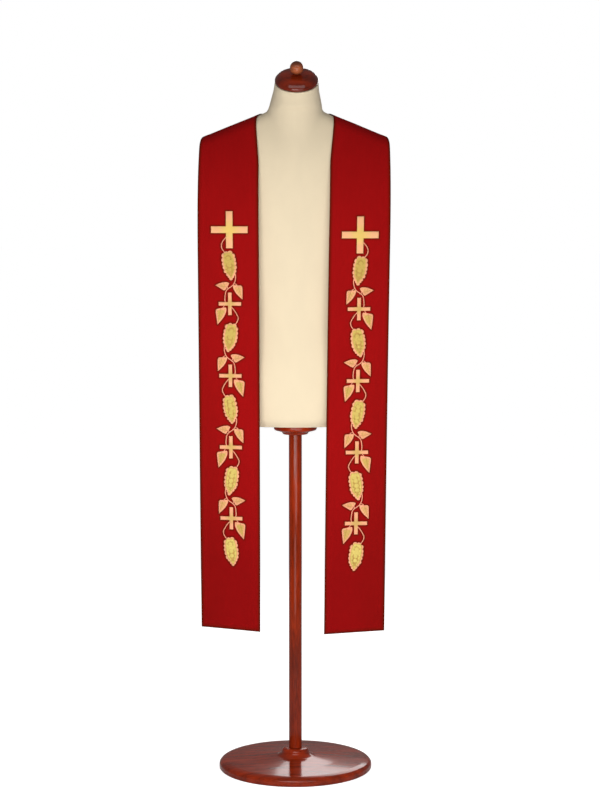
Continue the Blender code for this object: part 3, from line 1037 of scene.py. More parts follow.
    def build(self, twill: Material, lining: Material) -> Object:
        """Makes the half.

        Args:
            twill: the face cloth.
            lining: the cloth inside.

        Returns:
            The piece.
        """
        shares, lifts = self.ring()
        downs, kept = self.downs(shares)
        middle = (self.drape.thickness + self.margin_sink) / 2
        lift = middle + (lifts[None, :] - middle) * kept[:, None]
        out = self.drape.across(downs, shares[None, :])
        rows, columns = downs.shape
        inside = range(len(self.face_shares()) + self.edge_steps, columns - self.edge_steps - 1)
        inset = self.lining_inset / self.drape.band_width
        lined = [
            column in inside and inset <= shares[column] <= 1.0 - inset
            and inset <= shares[column + 1] <= 1.0 - inset
            for column in range(columns)
        ]
        faces = strip_faces(rows, columns, closed=True)
        slots = [int(lined[number % columns]) for number in range(len(faces))]
        ends = [face for row in (0, rows - 1) for face in self.end_faces(row * columns, columns)]
        draft = Draft()
        draft.add(
            self.drape.place(self.half, downs, out, lift), faces + ends,
            cut=np.stack([out, downs], axis=-1), shade=self.shade(shares, downs),
            slots=slots + [0] * len(ends),
        )
        label = self.half.side.label
        piece = draft.piece(f"stole_half_{label}_cloth", [twill, lining], sharp=70.0)
        return settle(piece, Slot.RED_CLOTH, f"stole_half_{label}")

    def declare(self, on_it: Sequence[Object]) -> None:
        """Works out the length and area of the half's flat cut, and does nothing with them."""
        share = np.linspace(0.0, 1.0, self.cut_samples)
        seam, hem = self.drape.seam_down(self.half, share), self.hem_down(share)
        length = float(hem.max() - seam.min())
        area = float(self.drape.band_width * (hem - seam).mean())


# ---- embroidery ----


@dataclass(frozen=True)
class Needlework:
    """The half that the embroidery is on, and its materials."""

    drape: Drape
    half: HalfCut
    thread: Material
    bright: Material
    stem: Material
    cloth: Material


@dataclass(frozen=True)
class Stitching:
    """A motif in the making, by its middle on the strip.

    "root" and "ground" are the lifts of its root and of the cloth's face. Round each motif lies a
    flat ring of cloth in painted shade: "fade" gives the shade at shares of the reach, which starts
    under the stitches by the tuck.
    """

    work: Needlework
    centre: Place
    draft: Draft = field(default_factory=Draft)
    root: float = 0.0010
    ground: float = 0.0017
    reach: float = 0.0060
    tuck: float = 0.0008
    fade: Table = ((0.0, 0.34), (0.30, 0.37), (0.52, 0.49), (0.76, 0.73), (1.0, 1.0))

    def on_strip(self, down: Array, out: Array) -> tuple[Array, Array]:
        """Places on the strip for the motif's own sizes."""
        return self.centre[0] + down, self.centre[1] + self.work.half.beside + out

    def place(self, down: Array, out: Array, height: Array | float) -> Array:
        """Points of the motif at heights over the cloth's face."""
        lift = self.ground + height
        return self.work.drape.place(self.work.half, *self.on_strip(down, out), lift)

    def sunk(self, down: Array, out: Array) -> Array:
        """Points inside the cloth under the motif, where its threads are rooted."""
        return self.work.drape.place(self.work.half, *self.on_strip(down, out), self.root)

    def shade_ring(self, inner: Array, outer: Array, level: float, closed: bool = True) -> None:
        """Adds a ring of cloth in painted shade between two lines round the motif.

        Args:
            inner: (down, out) rows of the line under the stitches.
            outer: as many of the line where the painted shade ends.
            level: its height over the cloth's face.
            closed: whether the lines are loops.
        """
        lines = np.stack([inner + share * (outer - inner) for share, _ in self.fade])
        down, out = lines[..., 0], lines[..., 1]
        # painted shade: dark under the stitches, gone at the outer line
        self.draft.add(
            self.place(down, out, level), strip_faces(len(self.fade), len(inner), closed),
            cut=np.stack(self.on_strip(down, out)[::-1], axis=-1),
            shade=np.repeat([shade for _, shade in self.fade], len(inner)), slots=1,
        )

    def surround(self, line: Array, level: float, tuck: float) -> None:
        """Adds cloth in painted shade round the motif's outline, of (down, out) rows."""
        away = outward(line)
        self.shade_ring(line - away * tuck, line + away * (self.reach - self.tuck), level)

    def dress(self, node: str, thread: Material) -> Object:
        """Makes the finished motif that stands for a node, in this thread."""
        piece = self.draft.piece(f"{node}_stitched", [thread, self.work.cloth])
        return settle(piece, Slot.GOLD_THREAD, node)


@dataclass(frozen=True)
class StitchedCross:
    """Two padded satin-stitched bars of one length that share their middle square.

    "tint" is how far the middle's colour takes over from the rim's, "open" how little shade lies on
    it, and "bright" says that it is in the brighter thread. "end_round" is a share of the bar's
    breadth, "flank" the height at its edge as a share, and "tint_fade" where the tint starts to go
    and over what share of the half span.
    """

    span: float
    bar: float
    along_cells: int
    across_cells: int
    tint: float
    open: float
    bright: bool
    height: float = 0.0015
    end_round: float = 0.16
    flank: float = 0.45
    tint_fade: Place = (0.04, 0.72)
    rim_light: float = 0.72
    rim_breadth: float = 0.0011
    level: float = 0.00016

    def dome(self, along: Array, across: Array) -> Array:
        """Height of one bar over its own place, and its edge's height off it."""
        side = np.clip(np.abs(across) / (self.bar / 2), 0.0, 1.0)
        inside = self.span / 2 - np.abs(along)
        end = np.clip(inside / (self.bar * self.end_round), 0.0, 1.0)
        crown = np.sqrt(1.0 - side**3) * np.sqrt(1.0 - (1.0 - end) ** 2)
        return self.height * (self.flank + (1.0 - self.flank) * crown)

    def room(self, along: Array, across: Array) -> Array:
        """How far inside one bar a place is."""
        return np.minimum(self.bar / 2 - np.abs(across), self.span / 2 - np.abs(along))

    def lines(self) -> Array:
        """Sizes from the middle at which the grid has its lines, closer at the bars' edges."""
        half_bar, half_span = self.bar / 2, self.span / 2
        spread = np.sin(np.linspace(0.0, math.pi / 2, self.along_cells + 1))
        arm = half_bar + (half_span - half_bar) * spread
        turns = np.linspace(-math.pi / 2, math.pi / 2, self.across_cells + 1)
        return np.concatenate([-arm[::-1], half_bar * np.sin(turns)[1:-1], arm])

    def build(self, name: str, work: Needlework, centre: Place) -> Object:
        """Makes the cross.

        Args:
            name: the node that it stands for.
            work: where it is stitched.
            centre: its middle on the strip.

        Returns:
            The piece.
        """
        lines = self.lines()
        middle = range(self.along_cells, self.along_cells + self.across_cells)
        cells = [
            (row, column)
            for row in range(len(lines) - 1)
            for column in range(len(lines) - 1)
            if row in middle or column in middle
        ]
        used = sorted({(r + i, c + j) for r, c in cells for i in (0, 1) for j in (0, 1)})
        index = {corner: number for number, corner in enumerate(used)}
        down, out = lines[np.array(used)].T
        height = np.maximum(self.dome(down, out), self.dome(out, down))
        faces = [
            (index[r, c], index[r + 1, c], index[r + 1, c + 1], index[r, c + 1]) for r, c in cells
        ]
        loop = rim_of(faces)
        many, size = len(used), len(loop)
        for k in range(size):
            after = (k + 1) % size
            faces.append((loop[k], many + k, many + after, loop[after]))
        faces.append(tuple(range(many, many + size))[::-1])
        all_down = np.concatenate([down, down[loop]])
        all_out = np.concatenate([out, out[loop]])
        ends = np.maximum(np.abs(all_down), np.abs(all_out)) / (self.span / 2)
        tint = self.tint * (1.0 - smooth_step(ends, *self.tint_fade))
        room = np.maximum(self.room(all_down, all_out), self.room(all_out, all_down))
        lit = self.rim_light + (1.0 - self.rim_light) * smooth_step(room, 0.0, self.rim_breadth)

        def corner_lay(face: Face) -> Array:
            """Threads run across each bar, and the upright bar's go over the middle."""
            corners = list(face)
            upright = np.abs(all_out[corners]).max() <= self.bar / 2 + TINY
            return (all_down if upright else all_out)[corners]

        motif = Stitching(work, centre)
        points = np.vstack([motif.place(down, out, height), motif.sunk(down[loop], out[loop])])
        motif.draft.add(points, faces, tint=tint, shade=self.open * lit, corner_lay=corner_lay)
        motif.surround(np.column_stack([down[loop], out[loop]]), self.level, motif.tuck)
        return motif.dress(name, work.bright if self.bright else work.thread)


@dataclass(frozen=True)
class Berry:
    """One grape of a bunch, by its middle in the bunch's own sizes."""

    down: float
    out: float
    radius: float
    height: float
    lay_angle: float


@dataclass(frozen=True)
class StitchedBunch:
    """A bunch of grapes: a row of them round its outline, and more inside.

    "side" is half the bunch's width at shares of its length, as shares of half its full width. The
    grapes get smaller from the share of the length in "tip", over the share after it. A pair that
    ends in "depth" says how far inside the outline something starts, and over what depth it grows.
    "luck" is the range of a random share.
    """

    length: float = 0.0715
    width: float = 0.0354
    lean: float = math.radians(8.0)
    side: Table = (
        (0.00, 0.60), (0.07, 0.80), (0.18, 0.94), (0.34, 1.00), (0.52, 1.00), (0.67, 0.90),
        (0.78, 0.66), (0.89, 0.38), (1.00, 0.13),
    )
    rim_samples: int = 90
    end_slack: float = 0.001
    berry: float = 0.0060
    tip_size: float = 0.68
    tip: Place = (0.45, 0.5)
    closeness: float = 0.80
    inner_closeness: float = 1.32
    grid: float = 0.001
    seed: int = 11
    place_luck: float = 0.10
    size_luck: Place = (0.94, 1.07)
    height_luck: Place = (0.88, 1.06)
    segments: int = 20
    rings: Numbers = (0.28, 0.52, 0.72, 0.87, 0.96, 1.0)
    height: float = 0.0019
    foot: float = 0.20
    swell: float = 0.0007
    swell_depth: Place = (0.0, 0.012)
    tint_depth: Place = (0.0024, 0.0050)
    fresh_depth: Place = (0.0040, 0.0040)
    fresh: Numbers = (0.0, 0.22, 0.50, 0.72, 1.0)
    crease: float = 0.30
    crease_shade: float = 0.10
    inner_crease_shade: float = 0.16
    inner_crease_depth: Place = (0.0, 0.0035)
    inner_shade: float = 0.05
    inner_depth: Place = (0.0, 0.0060)
    around: int = 132
    widening: int = 2
    underlay: float = 0.0007
    underlay_inset: float = 0.0022
    underlay_least: float = 0.001
    underlay_tint: float = 0.9
    underlay_shade: float = 0.72
    level: float = 0.00014

    def half_width(self, share: Array) -> Array:
        """Half the bunch's width at shares of its length."""
        return np.interp(share, *np.array(self.side).T) * self.width / 2

    def depth(self, down: Array, out: Array) -> Array:
        """How far inside the outline points are."""
        share = down / self.length + 0.5
        ends = np.minimum(share, 1.0 - share) * self.length
        return np.minimum(self.half_width(share) - np.abs(out), ends + self.end_slack)

    def radius(self, down: Array) -> Array:
        """How big the grapes are at sizes down: the ones near the tip are the smallest."""
        share = down / self.length + 0.5
        smaller = (1.0 - self.tip_size) * smooth_step(share, *self.tip)
        return self.berry * (1.0 - smaller)

    def rim_line(self) -> Array:
        """The closed line that the middles of the outer grapes lie on."""
        last = 1.0 - self.berry * self.tip_size / self.length
        share = np.linspace(self.berry / self.length, last, self.rim_samples)
        down = (share - 0.5) * self.length
        side = np.column_stack([down, np.maximum(self.half_width(share) - self.radius(down), 0.0)])
        return np.vstack([side, side[::-1] * (1.0, -1.0), side[:1]])

    def berries(self, number: int) -> list[Berry]:
        """Places the grapes: round the outline first, then wherever the widest gap is.

        Args:
            number: the bunch's place down the band, which varies them.

        Returns:
            The grapes.
        """
        luck = np.random.default_rng(self.seed + number)
        line = self.rim_line()
        steps = np.linalg.norm(np.diff(line, axis=0), axis=1)
        gone = running(steps * self.berry / self.radius(line[1:, 0]))
        many = round(gone[-1] / (2 * self.berry * self.closeness))
        stray = luck.uniform(-self.place_luck, self.place_luck, many)
        middles = [
            (np.interp(stop, gone, line[:, 0]), np.interp(stop, gone, line[:, 1]))
            for stop in (np.arange(many) + 0.5 + stray) / many * gone[-1]
        ]
        down, out = np.meshgrid(
            *(np.arange(-size / 2, size / 2, self.grid) for size in (self.length, self.width))
        )
        free = self.depth(down, out) > self.berry
        down, out = down[free], out[free]
        gap = np.min([np.hypot(down - one[0], out - one[1]) for one in middles], axis=0)
        while gap.max() > self.inner_closeness * self.berry:
            best = int(gap.argmax())
            middles.append((down[best], out[best]))
            gap = np.minimum(gap, np.hypot(down - down[best], out - out[best]))
        return [
            Berry(
                float(down), float(out), float(self.radius(down)) * luck.uniform(*self.size_luck),
                self.height * luck.uniform(*self.height_luck), float(luck.uniform(0.0, math.pi)),
            )
            for down, out in middles
        ]

    def dome(self, motif: Stitching, lean: float, berry: Berry, fresh: float) -> None:
        """Adds one grape.

        Args:
            motif: what it is added to.
            lean: the bunch's lean in radians.
            berry: the grape.
            fresh: how far the fresh colour takes over inside its bunch.
        """
        many = self.segments
        angle = np.linspace(0.0, TURN, many, endpoint=False)
        rings = np.array([*self.rings, 1.0])[:, None]
        along = np.concatenate([[0.0], (rings * np.cos(angle)).ravel()]) * berry.radius
        aside = np.concatenate([[0.0], (rings * np.sin(angle)).ravel()]) * berry.radius
        share = np.hypot(along, aside) / berry.radius
        depth = self.depth(berry.down + along, berry.out + aside)
        crown = np.sqrt(np.clip(1.0 - share**2, 0.0, 1.0))
        height = berry.height * (self.foot + (1.0 - self.foot) * crown)
        height = height + self.swell * smooth_step(depth, *self.swell_depth)
        tint = smooth_step(depth, *self.tint_depth) + fresh * smooth_step(depth, *self.fresh_depth)
        crease = 1.0 - smooth_step(1.0 - share, 0.0, self.crease)
        inner = self.inner_crease_shade * smooth_step(depth, *self.inner_crease_depth)
        shade = 1.0 - self.inner_shade * smooth_step(depth, *self.inner_depth)
        shade = shade - crease * (self.crease_shade + inner)
        down, out = turned(berry.down + along, berry.out + aside, lean)
        top = len(height) - many
        points = np.vstack([
            motif.place(down[:top], out[:top], height[:top]), motif.sunk(down[top:], out[top:]),
        ])
        faces = [*disc_faces(len(rings), many), tuple(range(top, top + many))]
        lay = along * math.cos(berry.lay_angle) + aside * math.sin(berry.lay_angle)
        motif.draft.add(points, faces, tint=tint, shade=shade, lay=lay)

    def outline(self, berries: Sequence[Berry]) -> Array:
        """The bunch's own outline: how far the grapes reach each way from its middle."""
        angle = np.arange(self.around) / self.around * TURN
        reach = np.zeros(self.around)
        for berry in berries:
            ahead = berry.down * np.cos(angle) + berry.out * np.sin(angle)
            inside = ahead**2 - berry.down**2 - berry.out**2 + berry.radius**2
            far = ahead + np.sqrt(np.maximum(inside, 0.0))
            reach = np.maximum(reach, np.where(inside > 0, far, 0.0))
        return reach

    def ground_under(self, motif: Stitching, lean: float, berries: Sequence[Berry]) -> None:
        """Adds the underlay stitching between the grapes, darkened a little by painted shade, and
        the cloth in painted shade round them.

        Args:
            motif: what it is added to.
            lean: the bunch's lean in radians.
            berries: its grapes.
        """
        many = self.around
        reach = self.outline(berries)
        angle = np.arange(many) / many * TURN
        near = range(-self.widening, self.widening + 1)
        wide = np.max([np.roll(reach, turn) for turn in near], axis=0)
        wide = np.mean([np.roll(wide, turn) for turn in near], axis=0)

        def line(sizes: Array) -> Array:
            """Rows of (down, out) at these sizes from the middle."""
            return np.column_stack(turned(sizes * np.cos(angle), sizes * np.sin(angle), lean))

        inner, outer = line(reach - motif.tuck), line(wide + motif.reach - motif.tuck)
        motif.shade_ring(inner, outer, self.level)
        rim = line(np.maximum(reach - self.underlay_inset, self.underlay_least))
        both = np.vstack([[[0.0, 0.0]], rim * 0.5, rim, rim])
        points = np.vstack([
            motif.place(both[:-many, 0], both[:-many, 1], self.underlay),
            motif.sunk(rim[:, 0], rim[:, 1]),
        ])
        faces = [*disc_faces(3, many), tuple(range(1 + 2 * many, 1 + 3 * many))]
        # painted shade on the underlay between the grapes
        tint, shade = self.underlay_tint, self.underlay_shade
        motif.draft.add(points, faces, tint=tint, shade=shade, lay=both[:, 0])

    def build(
        self, name: str, number: int, work: Needlework, centre: Place, swing: float
    ) -> Object:
        """Makes the bunch.

        Args:
            name: the node that it stands for.
            number: the bunch's place down the band, which varies its grapes.
            work: where it is stitched.
            centre: its middle on the strip.
            swing: 1 or -1, the side to which the vine swings there.

        Returns:
            The piece.
        """
        motif = Stitching(work, centre)
        lean = -swing * self.lean
        berries = self.berries(number)
        self.ground_under(motif, lean, berries)
        for berry in berries:
            self.dome(motif, lean, berry, self.fresh[number])
        return motif.dress(name, work.thread)


class LeafKind(Enum):
    """The three leaves of each repeat, as the nodes name them."""

    SIDE = "side"
    UPPER = "upper"
    LOWER = "lower"


@dataclass(frozen=True)
class StitchedLeaf:
    """A leaf with a slanting foot, one full side and one nearly straight side.

    It is placed from its repeat's small cross. "turn" is the tip's turn from plumb in degrees, and
    "full" the side that bulges, 1 or -1. "green" is how far the middle's colour takes over from the
    rim's, and "open" how little shade lies on it. Each side's table gives half-widths at shares of
    the length, as shares of the width. A name with "room" says how far inside the outline
    something starts and over what breadth it grows, and "edge_round" is a share of the width.
    """

    kind: LeafKind
    down: float
    out: float
    length: float
    width: float
    turn: float
    full: float
    green: float
    open: float
    foot_share: float = 0.42
    foot_slant: float = 0.41
    rows: int = 46
    columns: int = 24
    side_spacing: float = 0.01
    full_side: Table = (
        (0.0, 0.38), (0.03, 0.50), (0.14, 0.575), (0.29, 0.565), (0.53, 0.44), (0.77, 0.225),
        (0.92, 0.08), (1.0, 0.0),
    )
    straight_side: Table = (
        (0.0, 0.32), (0.03, 0.385), (0.11, 0.425), (0.28, 0.380), (0.60, 0.230), (0.90, 0.060),
        (1.0, 0.0),
    )
    height: float = 0.0013
    flank: float = 0.40
    edge_round: float = 0.16
    end_room: float = 0.8
    vein_depth: float = 0.00050
    vein_width: float = 0.00055
    vein_pitch: float = 0.0056
    vein_angle: float = math.radians(38.0)
    vein_end: float = 0.12
    vein_shade: float = 0.50
    branch_share: float = 0.8
    branch_room: Place = (0.0012, 0.0012)
    green_room: Place = (0.0020, 0.0036)
    rim_light: float = 0.75
    rim_breadth: float = 0.0009
    wall_light: float = 0.7
    tuck: float = 0.0006
    level: float = 0.00012

    def half_width(self, share: Array, table: Table) -> Array:
        """Half the leaf's width at shares of its length, on one side."""
        knots = curve_through(table, self.side_spacing)
        return np.interp(share, knots[:, 0], np.maximum(knots[:, 1], 0.0)) * self.width

    def veins(self, share: Array, across: Array, lay: Array, room: Array) -> Array:
        """How deep in a vein points are, from 0 to 1: the middle one, or a branch."""
        to_branch = np.abs((lay / self.vein_pitch + 0.5) % 1.0 - 0.5) * self.vein_pitch
        middle, branch = (
            np.exp(-((aside / self.vein_width) ** 2)) for aside in (across, to_branch)
        )
        middle = middle * smooth_step(1.0 - share, 0.0, self.vein_end)
        branch = branch * smooth_step(room, *self.branch_room)
        return np.maximum(middle, self.branch_share * branch)

    def build(self, name: str, work: Needlework, cross_down: float, swing: float) -> Object:
        """Makes the leaf.

        Args:
            name: the node that it stands for.
            work: where it is stitched.
            cross_down: where the repeat's small cross is.
            swing: 1 or -1, the side to which the vine swings there.

        Returns:
            The piece.
        """
        share = (1.0 - np.cos(np.linspace(0.0, math.pi, self.rows + 1))) / 2
        side = np.sin(np.linspace(-math.pi / 2, math.pi / 2, self.columns + 1))
        share, side = np.meshgrid(share, side, indexing="ij")
        bulge = self.half_width(share, self.full_side)
        flat = self.half_width(share, self.straight_side)
        wide = np.where(side * self.full > 0, bulge, flat)
        across, along = side * wide, (share - self.foot_share) * self.length
        ends = np.minimum(share, 1.0 - share) * self.length * self.end_room
        room = np.minimum((1.0 - np.abs(side)) * wide, ends)
        inner = np.clip(room / (self.edge_round * self.width), 0.0, 1.0)
        crown = np.sqrt(1.0 - (1.0 - inner) ** 2)
        lay = along * math.cos(self.vein_angle) - np.abs(across) * math.sin(self.vein_angle)
        vein = self.veins(share, across, lay, room)
        height = self.height * (self.flank + (1.0 - self.flank) * crown) - self.vein_depth * vein
        tint = self.green * smooth_step(room, *self.green_room)
        lit = self.rim_light + (1.0 - self.rim_light) * smooth_step(room, 0.0, self.rim_breadth)
        shade = self.open * lit * (1.0 - self.vein_shade * vein)
        along = along - self.foot_slant * self.full * across * (1.0 - share) ** 2
        down, out = turned(along, across * swing, math.radians(self.turn) * swing)
        rows, columns = down.shape
        number = np.arange(rows * columns).reshape(rows, columns)
        loop = np.concatenate([number[0, :], number[1:, -1], number[-2:0:-1, 0]])
        many, size = rows * columns, len(loop)
        faces = strip_faces(rows, columns, closed=False)
        for k in range(size):
            after = (k + 1) % size
            faces.append((loop[k], loop[after], many + after, many + k))
        faces.append(tuple(range(many, many + size)))
        line = np.column_stack([down.ravel()[loop], out.ravel()[loop]])
        motif = Stitching(work, (cross_down + self.down, swing * self.out))
        top = motif.place(down, out, height).reshape(-1, 3)
        motif.draft.add(
            np.vstack([top, motif.sunk(line[:, 0], line[:, 1])]), faces,
            tint=np.concatenate([tint.ravel(), np.zeros(size)]),
            shade=np.concatenate([shade.ravel(), np.full(size, self.wall_light)]),
            lay=np.concatenate([lay.ravel(), lay.ravel()[loop]]),
        )
        motif.surround(line, self.level, self.tuck)
        return motif.dress(name, work.thread)


@dataclass(frozen=True)
class StitchedVine:
    """The stem that winds from the large cross past every bunch, in stem stitch.

    Its points are (down, out) from the large cross for the first run and from each small cross for
    the others, where "out" swings with the repeat. "lay" is how the stitches slant: how far a point
    counts along the stem and across it.
    """

    breadth: float = 0.0023
    stalk_share: float = 0.8
    height: float = 0.0008
    spacing: float = 0.0016
    sides: int = 10
    tip: float = 0.35
    tip_steps: int = 2
    lay: Place = (0.8, 0.9)
    tuck: float = 0.0006
    inset: float = 0.0010
    level: float = 0.00010
    first_run: Table = (
        (0.0060, 0.0015), (0.0167, 0.0071), (0.0270, 0.0155), (0.0362, 0.0193), (0.0450, 0.0180),
        (0.0523, 0.0128), (0.0580, 0.0070),
    )
    run: Table = (
        (-0.0790, -0.0110), (-0.0690, -0.0140), (-0.0590, -0.0138), (-0.0500, -0.0110),
        (-0.0437, -0.0066), (-0.0372, 0.0026), (-0.0322, 0.0080), (-0.0238, 0.0107),
        (-0.0085, 0.0118), (0.0010, 0.0075), (0.0060, -0.0010), (0.0113, -0.0070),
        (0.0185, -0.0125), (0.0262, -0.0170), (0.0328, -0.0197), (0.0395, -0.0189),
        (0.0465, -0.0150), (0.0540, -0.0090),
    )
    stalks: tuple[Table, ...] = (
        ((-0.0490, -0.0112), (-0.0472, -0.0148), (-0.0435, -0.0194)),
        ((-0.0350, 0.0050), (-0.0396, 0.0050), (-0.0445, 0.0072)),
        ((-0.0030, 0.0118), (0.0040, 0.0134), (0.0112, 0.0182)),
    )

    def tube(self, motif: Stitching, path: Sequence[Place], breadth: float) -> None:
        """Adds one run of stem.

        Args:
            motif: what it is added to, whose middle the path is measured from.
            path: the run's own points.
            breadth: how wide the stem is.
        """
        line = curve_through(path, self.spacing)
        ahead = np.gradient(line, axis=0)
        ahead /= np.linalg.norm(ahead, axis=1, keepdims=True)
        aside = np.column_stack([-ahead[:, 1], ahead[:, 0]])
        angle = np.linspace(0.0, TURN, self.sides, endpoint=False)
        gone = np.arange(len(line)) * self.spacing
        from_end = np.minimum(gone, gone[::-1]) / (self.tip_steps * self.spacing)
        taper = np.minimum(1.0, self.tip + (1.0 - self.tip) * from_end)[:, None]
        spread = np.cos(angle)[None, :] * breadth / 2 * taper
        down = line[:, :1] + aside[:, :1] * spread
        out = line[:, 1:] + aside[:, 1:] * spread
        rise = np.broadcast_to(self.height * np.sin(angle), down.shape) * taper
        lay = gone[:, None] * self.lay[0] + spread * self.lay[1]
        motif.draft.add(motif.place(down, out, rise), tube_faces(*down.shape), lay=lay)
        for way in (-1.0, 1.0):
            inner = line + aside * way * (breadth / 2 - self.tuck)
            outer = line + aside * way * (breadth / 2 + motif.reach - self.inset)
            motif.shade_ring(inner, outer, self.level, closed=False)

    def build(self, work: Needlework, first: float, crosses: Sequence[float]) -> Object:
        """Makes the whole vine of one half.

        Args:
            work: where it is stitched.
            first: where the large cross is, down the strip.
            crosses: where the small crosses are.

        Returns:
            The piece.
        """
        motif = Stitching(work, (first, 0.0))
        self.tube(motif, self.first_run, self.breadth)
        stems = [(self.run, self.breadth)]
        stems += [(stalk, self.breadth * self.stalk_share) for stalk in self.stalks]
        for number, down in enumerate(crosses):
            for path, breadth in stems:
                points = [(along, swing_of(number) * out) for along, out in path]
                self.tube(replace(motif, centre=(down, 0.0)), points, breadth)
        label = work.half.side.label
        piece = motif.draft.piece(f"vine_{label}_stitched", [work.stem, work.cloth])
        return settle(piece, Slot.GOLD_THREAD)


def swing_of(number: int) -> float:
    """The side to which the vine swings at a repeat, 1 or -1."""
    return -1.0 if number % 2 else 1.0


@dataclass(frozen=True)
class Embroidery:
    """Everything stitched on one half, from the large cross down.

    A leaf's numbers are its down and out, its length and width, its turn, its full side, and how
    green and how open it is.
    """

    large_down: float = 0.289
    first_bunch_below: float = 0.0860
    first_cross_below: float = 0.1775
    repeat: float = 0.1735
    bunches: int = 5
    large_cross: StitchedCross = StitchedCross(
        span=0.0885, bar=0.0162, along_cells=22, across_cells=12, tint=1.0, open=1.0, bright=True,
    )
    small_cross: StitchedCross = StitchedCross(
        span=0.0542, bar=0.0089, along_cells=16, across_cells=8, tint=0.76, open=0.98, bright=False,
    )
    bunch: StitchedBunch = StitchedBunch()
    leaves: tuple[StitchedLeaf, ...] = (
        StitchedLeaf(LeafKind.SIDE, -0.0420, 0.0181, 0.0285, 0.0204, 100.0, 1.0, 0.45, 0.87),
        StitchedLeaf(LeafKind.UPPER, -0.0303, -0.0240, 0.0356, 0.0212, -18.3, 1.0, 0.60, 0.94),
        StitchedLeaf(LeafKind.LOWER, 0.0271, 0.0256, 0.0405, 0.0248, 12.1, -1.0, 0.88, 0.94),
    )
    vine: StitchedVine = StitchedVine()

    def build(self, work: Needlework) -> list[Object]:
        """Makes every motif of the half.

        Args:
            work: the half.

        Returns:
            The pieces.
        """
        label = work.half.side.label
        top = self.large_down + work.half.slip
        pieces = [self.large_cross.build(f"large_cross_{label}", work, (top, 0.0))]
        for number in range(self.bunches):
            name = f"grape_bunch_{label}_{number + 1}"
            centre = (top + self.first_bunch_below + number * self.repeat, 0.0)
            pieces.append(self.bunch.build(name, number, work, centre, swing_of(number)))
        first = top + self.first_cross_below
        crosses = [first + number * self.repeat for number in range(self.bunches - 1)]
        for number, down in enumerate(crosses):
            ending = f"{label}_{number + 1}"
            pieces.append(self.small_cross.build(f"small_cross_{ending}", work, (down, 0.0)))
            for leaf in self.leaves:
                name = f"leaf_{leaf.kind.value}_{ending}"
                pieces.append(leaf.build(name, work, down, swing_of(number)))
        pieces.append(self.vine.build(work, top, crosses))
        return pieces


# ---- the dress form ----


@dataclass(frozen=True)
class BodyRing:
    """The body's section at one height. "square" is the exponent of its superellipse."""

    height: float
    half_width: float
    front: float
    back: float
    square: float


@dataclass(frozen=True)
class NeckRing:
    """The neck's section at one height, which leans forward and tilts."""

    height: float
    forward: float
    tilt: float
    radius: float


def ring_at(rings: Sequence[BodyRing | NeckRing], height: float) -> BodyRing | NeckRing:
    """The ring at any height, on smooth curves through the sizes of a table of rings."""
    sizes = np.array([astuple(ring) for ring in rings])
    heights = sizes[:, 0]
    slopes = np.gradient(sizes, heights, axis=0)
    after = min(max(int(np.searchsorted(heights, height)), 1), len(rings) - 1)
    before = after - 1
    span = heights[after] - heights[before]
    share = min(max((height - heights[before]) / span, 0.0), 1.0)
    start = sizes[before] * (1 + 2 * share) * (1 - share) ** 2
    start += slopes[before] * span * share * (1 - share) ** 2
    end = sizes[after] * share**2 * (3 - 2 * share)
    end -= slopes[after] * span * share**2 * (1 - share)
    return type(rings[0])(*(start + end))


def off(angles: Array, angle: float) -> Array:
    """How far round angles are from one of them, the short way."""
    return (angles - angle + math.pi) % TURN - math.pi


